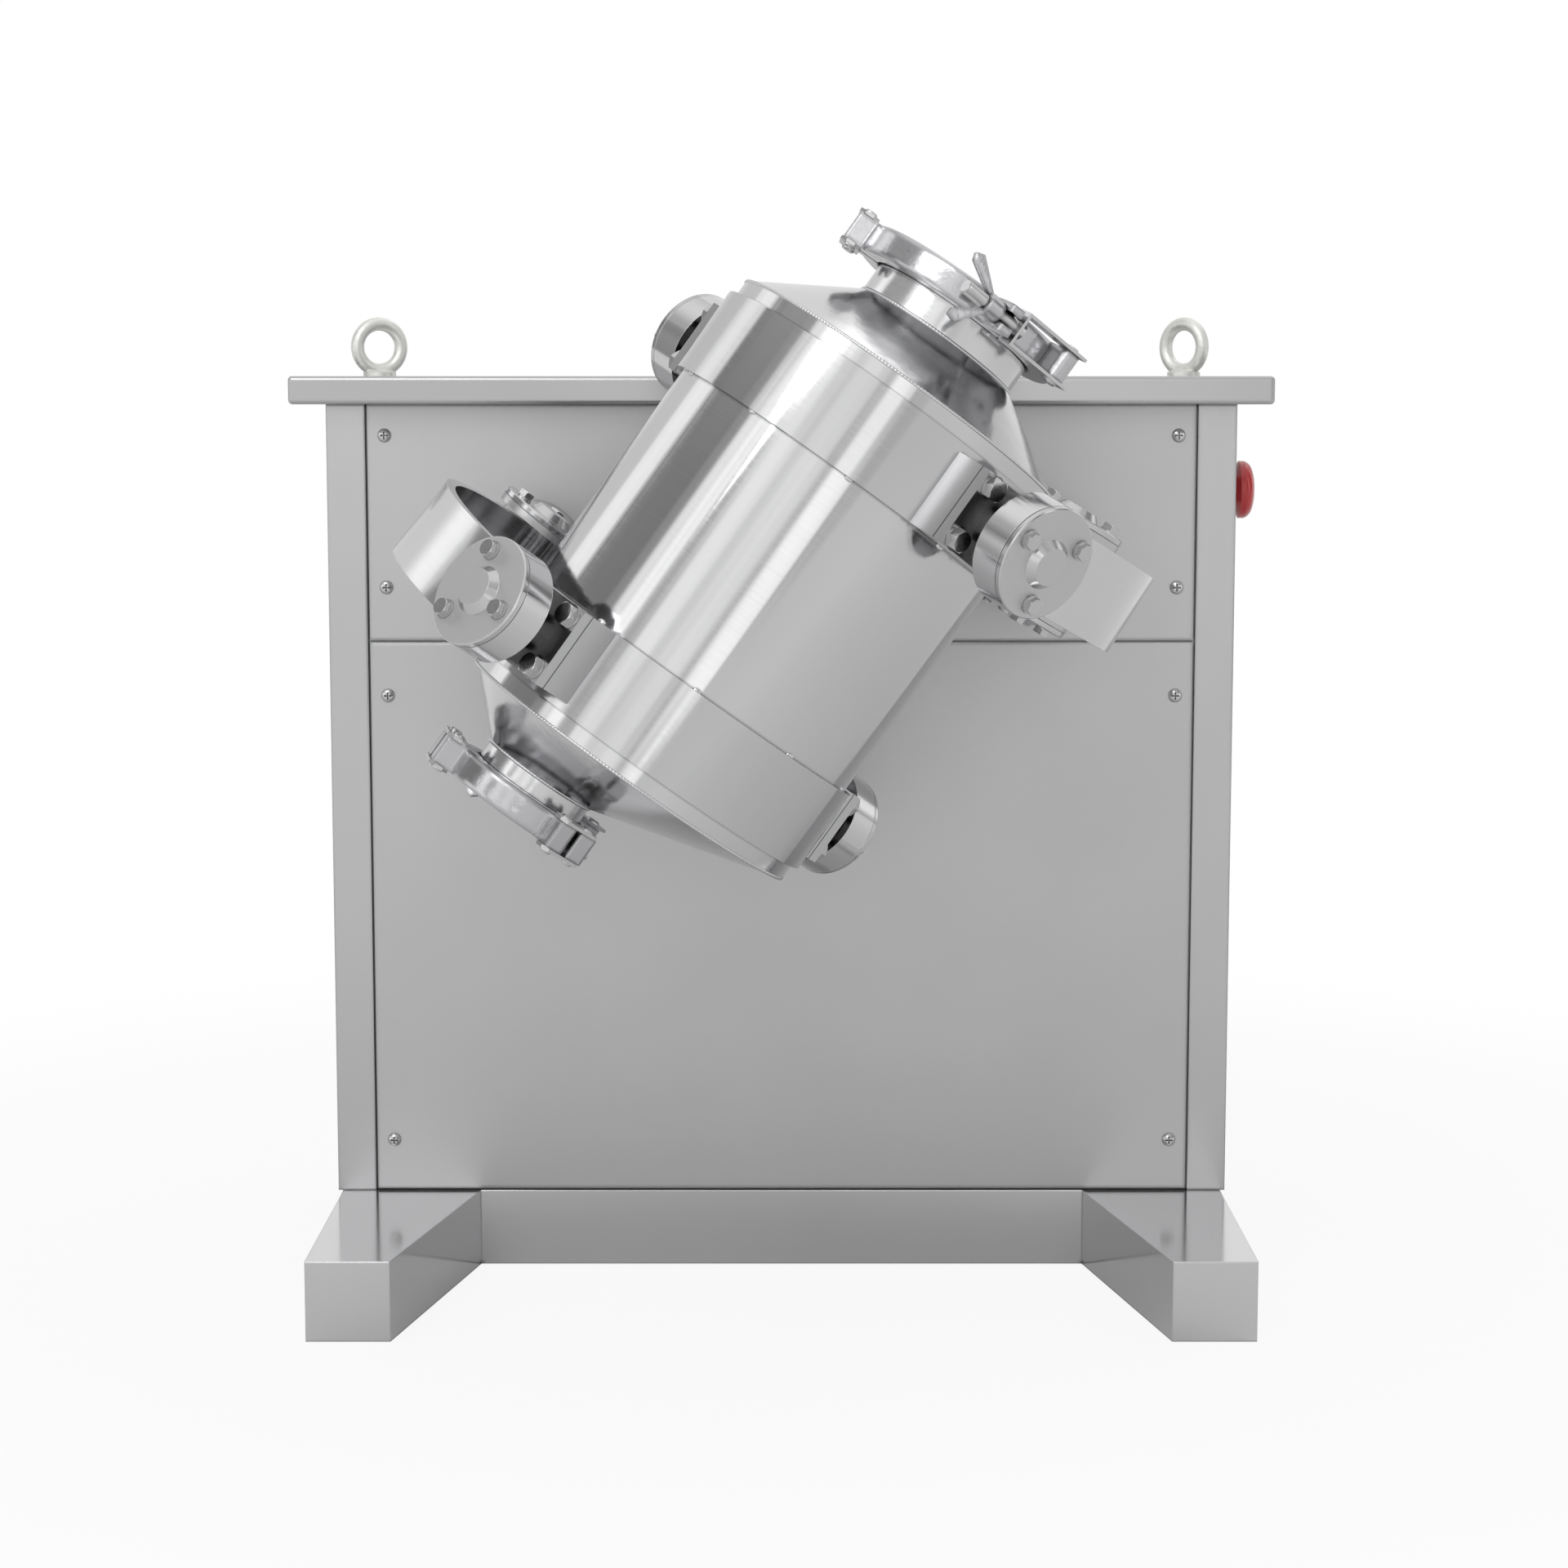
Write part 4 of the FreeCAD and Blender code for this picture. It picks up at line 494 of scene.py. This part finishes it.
class MIXER_OT_cabinet(bpy.types.Operator):
    """Gives the cabinet, base and slab their blasted sheet finish"""
    bl_idname = "mixer.cabinet"
    bl_label = "Cabinet Finish"

    def execute(self, context):
        finish = context.scene.mixer_finish
        # The gap size paints shade into the joints of the sheets and posts, and where they meet the slab
        # and plinth
        edge, gap = finish.edge_round, finish.joint_shade_depth
        upright, lengthwise = [0.0014, 0.0014, 0.30], [0.30, 0.0014, 0.0014]
        # Stainless sheet, glass-bead blasted: an even soft grey with no lines; grain drawn coarse
        sheet = metal("blasted_stainless_sheet", finish.sheet, WORLD_FRAME, roughness=0.40, spread=0.03,
                      grain=[finish.blast_grain] * 3, bump=0.00002, edge=edge * WIDE_EDGE, gap=gap)
        dress(["front_panel_upper", "front_panel_lower", "side_panel_left", "side_panel_right",
               "rear_panel"], sheet)
        # Folded and ground stainless: long vertical lines and a brighter sheen on posts
        posts = metal("ground_stainless_tube", finish.sheet, WORLD_FRAME, roughness=0.30, spread=0.04,
                      grain=upright, bump=0.00001, edge=edge * POST_EDGE, gap=gap)
        dress(["cabinet_frame"], posts)
        # Ground stainless plate with lines along its length
        plate = metal("ground_stainless_plate", finish.slab, WORLD_FRAME, roughness=0.24, spread=0.012,
                      grain=lengthwise, bump=0.000001, edge=edge)
        dress(["top_slab"], plate)
        # Ground plinth: the brightest of the flat sheets, with the same lines
        plinth = metal("ground_stainless_plinth", finish.base, WORLD_FRAME, roughness=0.12, spread=0.01,
                       grain=lengthwise, bump=0.000003, edge=edge, gap=gap)
        dress(["base_frame"], plinth)
        return {"FINISHED"}


class MIXER_OT_inner_parts(bpy.types.Operator):
    """Gives the drive parts inside the cabinet their finishes"""
    bl_idname = "mixer.inner_parts"
    bl_label = "Inner Parts"

    def execute(self, context):
        finish = context.scene.mixer_finish
        # Zinc phosphate primer: dull, slightly dusty grey
        dress(["mounting_plate", "bearing_housings"],
              coating("grey_primer_steel", finish.primer, roughness=0.62, grain=0.0012, bump=0.00002))
        # Hammered enamel on castings: dimpled gloss
        dress(["gearmotor"], coating("hammered_enamel", finish.enamel, roughness=0.3, grain=0.004,
                                     bump=0.0003, coat=0.4))
        # Epoxy powder coat: fine orange peel
        dress(["control_box"], coating("powder_coated_steel", finish.powder, roughness=0.42, grain=0.002,
                                       bump=0.00005))
        # Zinc-plated bolts: soft bluish shine
        dress(["housing_bolts"], metal("zinc_plated_steel", finish.fastener, WORLD_FRAME, roughness=0.34,
                                       spread=0.05, grain=[0.002] * 3, bump=0.00001))
        # Moulded polyamide: fine matt skin
        dress(["cable_gland"], coating("black_polyamide_gland", finish.black, roughness=0.5,
                                       grain=0.0008, bump=0.00003))
        return {"FINISHED"}


class MIXER_OT_small_hardware(bpy.types.Operator):
    """Gives the screws, bolts and lifting eyes their finishes"""
    bl_idname = "mixer.small_hardware"
    bl_label = "Small Hardware"

    def execute(self, context):
        finish = context.scene.mixer_finish
        # Cold-headed stainless: satin with faint die marks
        bolts = metal("cold_headed_stainless", finish.fastener, WORLD_FRAME, roughness=0.16, spread=0.06,
                      grain=[0.0015] * 3, bump=0.00001)
        dress(["plate_bolts"] + [f"{side}_{kind}_bolts" for side in SIDES
                                 for kind in ("fork", "trunnion")], bolts)
        # Pan heads of the same steel, with painted shade in the cross recess and under the rim
        screws = metal("pan_head_stainless", finish.fastener, WORLD_FRAME, roughness=0.20, spread=0.04,
                       grain=[0.0015] * 3, bump=0.00001, gap=finish.joint_shade_depth)
        dress(["panel_screws"], screws)
        # Hot-dip galvanised casting: pale, mottled and rough
        dress(["lifting_eyes"], metal("galvanised_casting", finish.cast, WORLD_FRAME, roughness=0.42,
                                      spread=0.10, grain=[0.003] * 3, bump=0.00018))
        return {"FINISHED"}


class MIXER_OT_stop_button(bpy.types.Operator):
    """Gives the emergency stop its plastics"""
    bl_idname = "mixer.stop_button"
    bl_label = "Stop Button"

    def execute(self, context):
        finish = context.scene.mixer_finish
        # Moulded ABS: smooth, clear gloss
        dress(["stop_head"], coating("glossy_red_abs", finish.red, roughness=0.22, grain=0.001,
                                     bump=0.000005, coat=0.6))
        # Glass-filled polyamide: fine matt skin
        dress(["stop_collar"], coating("grey_polyamide", finish.body_grey, roughness=0.5, grain=0.0008,
                                       bump=0.00002))
        # The same plastic in black, a little smoother where it slides
        dress(["stop_plunger"], coating("black_polyamide_stem", finish.black, roughness=0.4,
                                        grain=0.0008, bump=0.00001))
        return {"FINISHED"}


class MIXER_OT_forks(bpy.types.Operator):
    """Gives each fork, shaft, pin and bearing its turned and ground finishes"""
    bl_idname = "mixer.forks"
    bl_label = "Forks and Pins"

    def execute(self, context):
        finish = context.scene.mixer_finish
        # Turning marks about a part's own axis, drawn coarser than the real feed
        rings = dict(rings=True, grain=[finish.turning_pitch] * 3)
        # Ground bearing steel: dark bright rings
        race = dict(roughness=0.2, spread=0.04, bump=0.000004, **rings)
        # Ground bar: bright, with barely visible rings
        ground = dict(spread=0.03, grain=[0.02, 0.02, 0.0008], bump=0.000004)
        for side in SIDES:
            across, shaft = pin_frame(side), shaft_frame(side)
            # Turned stainless: fine rings about the pin
            # The gap size paints shade into the caps' joints and recesses
            caps = metal(f"turned_stainless_{side}_pin", finish.turned, across, roughness=0.17,
                         spread=0.04, bump=0.000006, edge=finish.edge_break, gap=finish.joint_shade_depth,
                         **rings)
            dress([f"{side}_fork_caps"], caps)
            # Milled stainless: satin faces with softened edges
            dress([f"{side}_fork"], metal(f"milled_stainless_{side}", finish.turned, shaft, roughness=0.3,
                                          spread=0.05, grain=[0.0015, 0.0015, 0.02], bump=0.00001))
            dress([f"{side}_shaft"], metal(f"ground_bar_{side}", finish.bearing, shaft, roughness=0.18,
                                           **ground))
            dress([f"{side}_pin"], metal(f"ground_pin_{side}", finish.bearing, across, roughness=0.16,
                                         **ground))
            dress([f"{side}_fork_bearings", f"{side}_trunnion_bearings"],
                  metal(f"bearing_steel_{side}", finish.bearing, across, **race))
        # One node holds the flanges of both shafts, and one their bearings: the rings of both
        # run about the drive shaft
        shaft = shaft_frame("drive")
        dress(["shaft_flanges"], metal("turned_stainless_flange", finish.turned, shaft, roughness=0.28,
                                       spread=0.05, bump=0.000006, **rings))
        dress(["shaft_bearings"], metal("bearing_steel_shaft", finish.bearing, shaft, **race))
        return {"FINISHED"}


class MIXER_OT_stirrups(bpy.types.Operator):
    """Gives the stirrups and their trunnion caps their finishes"""
    bl_idname = "mixer.stirrups"
    bl_label = "Stirrups"

    def execute(self, context):
        finish = context.scene.mixer_finish
        # The gap size paints shade where the straps and trunnion caps meet other parts
        edge, gap = finish.edge_break, finish.joint_shade_depth
        trunnions = {"drive": frame_along(Barrel.y, Barrel.upper),
                     "driven": frame_along(Barrel.x, LOWER_TRUNNION)}
        for side, trunnion in trunnions.items():
            # Rolled flat bar, polished: clear reflections with faint lines along the strap
            strap = metal(f"polished_flat_bar_{side}", finish.mirror, pin_frame(side), roughness=0.12,
                          spread=0.03, grain=[0.06, 0.06, 0.0012], bump=0.000004, edge=edge, gap=gap)
            dress([f"{side}_stirrup"], strap)
            # Turned stainless: bright rims, and end faces with duller rings from the facing cut
            cap = metal(f"turned_stainless_{side}_trunnion", finish.turned, trunnion, roughness=0.17,
                        spread=0.04, grain=[finish.turning_pitch] * 3, bump=0.000006, rings=True,
                        edge=edge, gap=gap)
            dress([f"{side}_trunnion_caps"], faced(cap, trunnion.col[2].to_3d(), roughness=0.46))
        return {"FINISHED"}


class MIXER_OT_barrel(bpy.types.Operator):
    """Gives the barrel, its cones, plates and gaskets their finishes"""
    bl_idname = "mixer.barrel"
    bl_label = "Barrel Finish"

    def execute(self, context):
        finish = context.scene.mixer_finish
        # The gap size paints shade along the steps of the bands and in the barrel's joints
        brushed = dict(spread=0.03, grain=[0.05, 0.05, finish.brush_line], bump=0.000004,
                       gap=finish.joint_shade_depth)
        # Stainless brushed round the barrel, then buffed: bright streaks with soft edges
        shell = metal("buffed_brushed_stainless", finish.shell, BARREL_FRAME, roughness=0.09, **brushed)
        # Bands left from the brush: the same lines, greyer and less clear
        band = metal("brushed_stainless_band", finish.band, BARREL_FRAME, roughness=0.10, **brushed)
        # The rolls leave waves 12 mm wide along the barrel, which split the reflections into streaks
        for name, material in (("barrel_shell", shell), ("barrel_bands", band)):
            dress([name], rolled(material, BARREL_FRAME, [0.012, 0.012, 2.0], finish.roll_depth))
        # Spun and mirror-polished cones: nearly clear reflections with slight waves
        cones = metal("mirror_spun_stainless", finish.mirror, BARREL_FRAME, roughness=0.14, spread=0.03,
                      grain=[0.022, 0.022, 0.014], bump=0.00022)
        dress(["upper_cone", "lower_cone"], cones)
        # Milled plates, satin with lines across
        # Half the gap size paints shade into the plates' joints
        plate = metal("milled_stainless_plate", finish.turned, BARREL_FRAME, roughness=0.24, spread=0.02,
                      grain=[0.0012, 0.0012, 0.03], bump=0.000001, gap=finish.joint_shade_depth / 2)
        # The hubs are darkened with painted shade, and a dark line of grease marks the joint of pad and
        # plate
        dress(["trunnion_pads", "trunnion_plates"],
              shaded_hub_and_grease_line(plate, BARREL_FRAME, Barrel.hub_start, Barrel.pad_face, finish.hub))
        # Silicone: matt, slightly waxy
        dress(["gaskets"], coating("white_silicone", finish.rubber, roughness=0.55, grain=0.001,
                                   bump=0.00001, sheen=0.1))
        return {"FINISHED"}


class MIXER_OT_mouths(bpy.types.Operator):
    """Gives the lids, clamps, links and wing nuts their finishes"""
    bl_idname = "mixer.mouths"
    bl_label = "Lids and Clamps"

    def execute(self, context):
        finish = context.scene.mixer_finish
        # Pressed and polished lids: nearly a mirror
        lids = metal("polished_pressed_stainless", finish.mirror, BARREL_FRAME, roughness=0.09,
                     spread=0.02, grain=[0.01] * 3, bump=0.00003)
        dress(["upper_lid", "lower_lid"], lids)
        # Investment-cast clamps, tumbled bright: soft edges and a slightly uneven skin
        # The gap size paints shade in the joints of the clamps and wing nuts
        clamps = metal("tumbled_cast_stainless", finish.clamp, BARREL_FRAME, roughness=0.13, spread=0.04,
                       grain=[0.006] * 3, bump=0.0002, edge=finish.edge_round * WIDE_EDGE,
                       gap=finish.joint_shade_depth)
        dress(["upper_clamp", "lower_clamp", "upper_wing_nut", "lower_wing_nut"], clamps)
        # Stamped links and turned bolts: satin with a fine even grain
        links = metal("stamped_stainless", finish.turned, BARREL_FRAME, roughness=0.2, spread=0.05,
                      grain=[0.002] * 3, bump=0.00002)
        dress(["upper_clamp_links", "lower_clamp_links", "upper_swing_bolt", "lower_swing_bolt"], links)
        return {"FINISHED"}


class MIXER_OT_welds(bpy.types.Operator):
    """Builds the weld beads of the cones and necks, and the tack welds of the bands"""
    bl_idname = "mixer.welds"
    bl_label = "Welds"

    def execute(self, context):
        detail = context.scene.mixer_detail
        finish = context.scene.mixer_finish
        # Tig weld left as welded and polished over: bright with a slight ripple
        weld = metal("polished_weld_bead", finish.mirror, BARREL_FRAME, roughness=0.2, spread=0.05,
                     grain=[0.002] * 3, bump=0.00002)
        bead, pitch = detail.bead_radius, detail.bead_pitch
        rings = []
        for sign in (1, -1):
            rings.append(weld_ring(BARREL_FRAME, Barrel.radius - bead * BEAD_SINK,
                                   sign * Barrel.half_length, bead, pitch))
        for matrix, seat in ((BARREL_FRAME, Barrel.upper_neck), (LOWER_FRAME, Barrel.lower_neck)):
            radius, height, offset = seat
            place = matrix @ Matrix.Translation((offset, 0, 0))
            rings.append(weld_ring(place, radius, height, bead, pitch))
        new_piece("seam_welds", *joined(rings), weld, "barrel")
        tacks = []
        for sign in (1, -1):
            edge = sign * (Barrel.band_inner - TACK_OVERLAP)
            for index in range(detail.tacks):
                turn = Matrix.Rotation(2 * math.pi * (index + TACK_TURN) / detail.tacks, 4, "Z")
                seat = Matrix.Translation((Barrel.radius, 0, edge))
                tacks.append(dome(BARREL_FRAME @ turn @ seat @ FACE_OUT, detail.tack_radius,
                                  TACK_HEIGHT))
        new_piece("band_tack_welds", *joined(tacks), weld, "barrel")
        return {"FINISHED"}


class MIXER_OT_threads(bpy.types.Operator):
    """Winds the threads of the two swing bolts"""
    bl_idname = "mixer.threads"
    bl_label = "Swing Bolt Threads"

    def execute(self, context):
        detail = context.scene.mixer_detail
        finish = context.scene.mixer_finish
        # Rolled thread: crests burnished brighter than the shank
        crest = metal("rolled_thread_stainless", finish.fastener, WORLD_FRAME, roughness=0.18,
                      spread=0.05, grain=[0.001] * 3, bump=0.00001)
        for end in ("upper", "lower"):
            nut = f"{end}_nut_turn"
            matrix = frame_along(-vector(nut, "axis"), vector(nut, "pos_m"))
            ridges = [screw_thread(matrix, SwingBolt.shank, low, high, detail.thread_pitch,
                                   detail.thread_depth) for low, high in SwingBolt.threaded]
            new_piece(f"{end}_bolt_thread", *joined(ridges), crest, f"{end}_swing_bolt")
        return {"FINISHED"}


class Studio:
    """Fixed places, distances and levels of the stage."""
    sensor_width = 36.0
    key_size = (1.6, 1.0)
    key_place = (-0.9, -2.2, 2.4)
    key_target = (0.0, -0.2, 0.4)
    floor_drop = 0.0005
    floor_roughness = (0.86, 0.94)
    floor_mottle = 3.0
    # Distances from the machine between which the floor turns white, and how white it gets:
    # first for the camera, where it passes into the background, then for a gloss
    camera_fade, camera_white = (0.55, 1.3), (0.90, 1.0)
    gloss_fade, gloss_white = (0.5, 2.2), (0.07, 0.50)
    # Distances between which the painted shade under the machine ends
    under_shade_fade = (0.30, 0.55)
    # Rings of light boxes and flags: bearings from straight behind the camera, in degrees, and
    # brightness. The two lower rings share those in front
    front = ((-57, 1.35), (-53, 1.5), (-47, 0.70), (-40, 0.55), (-36, 1.20), (-31, 1.25), (-23, 0.92),
             (-14, 1.15), (-10, 1.10), (-4, 0.66), (1, 1.50), (5, 1.45), (10, 0.62), (24, 0.80),
             (38, 0.28), (52, 0.28), (60, 1.30), (74, 1.25), (82, 0.30), (104, 0.30), (112, 1.10),
             (126, 1.00), (136, 0.60), (160, 0.85))
    low = ((-180, 0.85), (-158, 0.72), (-140, 0.78), (-124, 0.95), (-112, 0.30), (-96, 0.35),
           (-84, 1.20), (-68, 1.00)) + front
    walls = ((-180, 0.85), (-158, 0.75), (-140, 0.78), (-126, 1.30), (-115, 1.25), (-107, 0.30),
             (-76, 0.27), (-67, 0.40)) + front
    above = ((-180, 0.70), (-150, 0.65), (-90, 0.50), (0, 0.60), (90, 0.65), (120, 0.80), (130, 1.70),
             (154, 1.70), (164, 0.90))
    ceiling = (0.95, 0.95, 0.95, 1.0)
    # Heights, as the sine of the angle over the horizon, between which one passes into the next
    low_to_walls = (0.36, 0.46)
    walls_to_above = (0.60, 0.68)
    above_to_ceiling = (0.74, 0.92)


class MIXER_OT_stage(bpy.types.Operator):
    """Builds the floor, the camera and the studio light"""
    bl_idname = "mixer.stage"
    bl_label = "Stage"

    def execute(self, context):
        stage = context.scene.mixer_stage
        self.build_floor(context, stage)
        self.build_world(context)
        self.build_lamp(context, stage)
        camera_data = bpy.data.cameras.new("photo_camera")
        camera_data.lens = stage.focal
        camera_data.sensor_width = Studio.sensor_width
        camera = bpy.data.objects.new("photo_camera", camera_data)
        camera.location = (stage.camera_x, stage.camera_y, stage.camera_z)
        camera.rotation_euler = (math.radians(90) - stage.camera_pitch, 0, 0)
        context.scene.collection.objects.link(camera)
        context.scene.camera = camera
        context.scene.view_settings.view_transform = "Standard"
        return {"FINISHED"}

    def build_floor(self, context, stage):
        """A plain floor that is lifted towards white where the camera or a gloss sees it."""
        work = bmesh.new()
        bmesh.ops.create_grid(work, x_segments=8, y_segments=8, size=stage.floor_size / 2)
        mesh = bpy.data.meshes.new("studio_floor")
        work.to_mesh(mesh)
        work.free()
        floor = bpy.data.objects.new("studio_floor", mesh)
        floor.location.z = -Studio.floor_drop
        context.scene.collection.objects.link(floor)
        material, tree, shader, place = blank_material("pale_studio_floor")
        path = add(tree, "ShaderNodeLightPath").outputs
        away = add(tree, "ShaderNodeVectorMath", {0: place}, operation="LENGTH").outputs["Value"]
        fade = stretch(tree, away, Studio.camera_fade, Studio.camera_white, smooth=True)
        far = stretch(tree, away, Studio.gloss_fade, Studio.gloss_white)
        gloss = calculate(tree, "MULTIPLY", path["Is Glossy Ray"], far)
        seen = calculate(tree, "MULTIPLY_ADD", path["Is Camera Ray"], fade, gloss)
        # Painted shade: for the gloss alone the floor under the machine turns grey, which keeps the lower
        # sides darker
        under = stretch(tree, away, Studio.under_shade_fade, (1.0, 0.0), smooth=True)
        gloss_shade = calculate(tree, "MULTIPLY", path["Is Glossy Ray"], under)
        mottle = noise(tree, place, Studio.floor_mottle)
        feed(tree, shader, {"Base Color": blend(tree, gloss_shade, stage.floor, stage.under_shade),
                            "Roughness": stretch(tree, mottle, result=Studio.floor_roughness)})
        white = add(tree, "ShaderNodeEmission", {"Color": WHITE, "Strength": 1.0})
        mix = add(tree, "ShaderNodeMixShader", {0: seen, 1: shader.outputs["BSDF"],
                                                2: white.outputs["Emission"]})
        output = next(item for item in tree.nodes if item.type == "OUTPUT_MATERIAL")
        feed(tree, output, {"Surface": mix.outputs["Shader"]})
        mesh.materials.append(material)

    def build_world(self, context):
        """A studio of soft boxes and dark flags round the object, seen white by the camera."""
        world = bpy.data.worlds.new("studio")
        world.use_nodes = True
        context.scene.world = world
        tree = world.node_tree
        direction = add(tree, "ShaderNodeTexCoord").outputs["Generated"]
        part = add(tree, "ShaderNodeSeparateXYZ", {"Vector": direction}).outputs
        front = calculate(tree, "MULTIPLY", part["Y"], -1.0)
        bearing = calculate(tree, "ARCTAN2", part["X"], front)
        turn = stretch(tree, bearing, (-math.pi, math.pi))
        low, walls, above = (self.ring_of_boxes(tree, turn, boxes)
                             for boxes in (Studio.low, Studio.walls, Studio.above))
        sky = low
        for span, higher in ((Studio.low_to_walls, walls), (Studio.walls_to_above, above),
                             (Studio.above_to_ceiling, Studio.ceiling)):
            sky = blend(tree, stretch(tree, part["Z"], span, smooth=True), sky, higher)
        camera_ray = add(tree, "ShaderNodeLightPath").outputs["Is Camera Ray"]
        feed(tree, tree.nodes["Background"], {"Color": blend(tree, camera_ray, sky, WHITE),
                                              "Strength": 1.0})

    def ring_of_boxes(self, tree, turn, boxes):
        """Light boxes and flags round the horizon: a bearing in degrees and a brightness each."""
        ramp = add(tree, "ShaderNodeValToRGB", {"Fac": turn})
        ramp.color_ramp.interpolation = "EASE"
        elements = ramp.color_ramp.elements
        places = [(degrees + 180) / 360 for degrees, level in boxes]
        elements[0].position, elements[-1].position = places[0], places[-1]
        for place in places[1:-1]:
            elements.new(place)
        for element, (degrees, level) in zip(elements, boxes):
            element.color = (level, level, level, 1.0)
        return ramp.outputs["Color"]

    def build_lamp(self, context, stage):
        """One large softbox above the camera for a gentle direction of light."""
        data = bpy.data.lights.new("key_softbox", "AREA")
        data.shape = "RECTANGLE"
        data.size, data.size_y = Studio.key_size
        data.energy = stage.key_power
        lamp = bpy.data.objects.new("key_softbox", data)
        lamp.location = Studio.key_place
        aim(lamp, Studio.key_target)
        context.scene.collection.objects.link(lamp)


STEPS = (MIXER_OT_cabinet, MIXER_OT_inner_parts, MIXER_OT_small_hardware, MIXER_OT_stop_button,
         MIXER_OT_forks, MIXER_OT_stirrups, MIXER_OT_barrel, MIXER_OT_mouths, MIXER_OT_welds,
         MIXER_OT_threads, MIXER_OT_stage)


class MIXER_PT_panel(bpy.types.Panel):
    """Lists the mixer's sizes, colours and steps"""
    bl_idname = "MIXER_PT_panel"
    bl_label = "Motion Mixer"
    bl_space_type = "VIEW_3D"
    bl_region_type = "UI"
    bl_category = "Mixer"

    def draw(self, context):
        layout = self.layout
        for group in (context.scene.mixer_finish, context.scene.mixer_detail, context.scene.mixer_stage):
            box = layout.box()
            for name in group.__annotations__:
                box.prop(group, name)
        for step in STEPS:
            layout.operator(step.bl_idname)


GROUPS = {"mixer_finish": MixerFinish, "mixer_detail": MixerDetail, "mixer_stage": MixerStage}


def register():
    for group in GROUPS.values():
        bpy.utils.register_class(group)
    for step in STEPS:
        bpy.utils.register_class(step)
    bpy.utils.register_class(MIXER_PT_panel)
    for name, group in GROUPS.items():
        setattr(bpy.types.Scene, name, PointerProperty(type=group))


def unregister():
    for name in GROUPS:
        delattr(bpy.types.Scene, name)
    bpy.utils.unregister_class(MIXER_PT_panel)
    for step in reversed(STEPS):
        bpy.utils.unregister_class(step)
    for group in reversed(list(GROUPS.values())):
        bpy.utils.unregister_class(group)


def main():
    register()
    for step in STEPS:
        family, name = step.bl_idname.split(".")
        getattr(getattr(bpy.ops, family), name)()


if __name__ == "__main__":
    main()
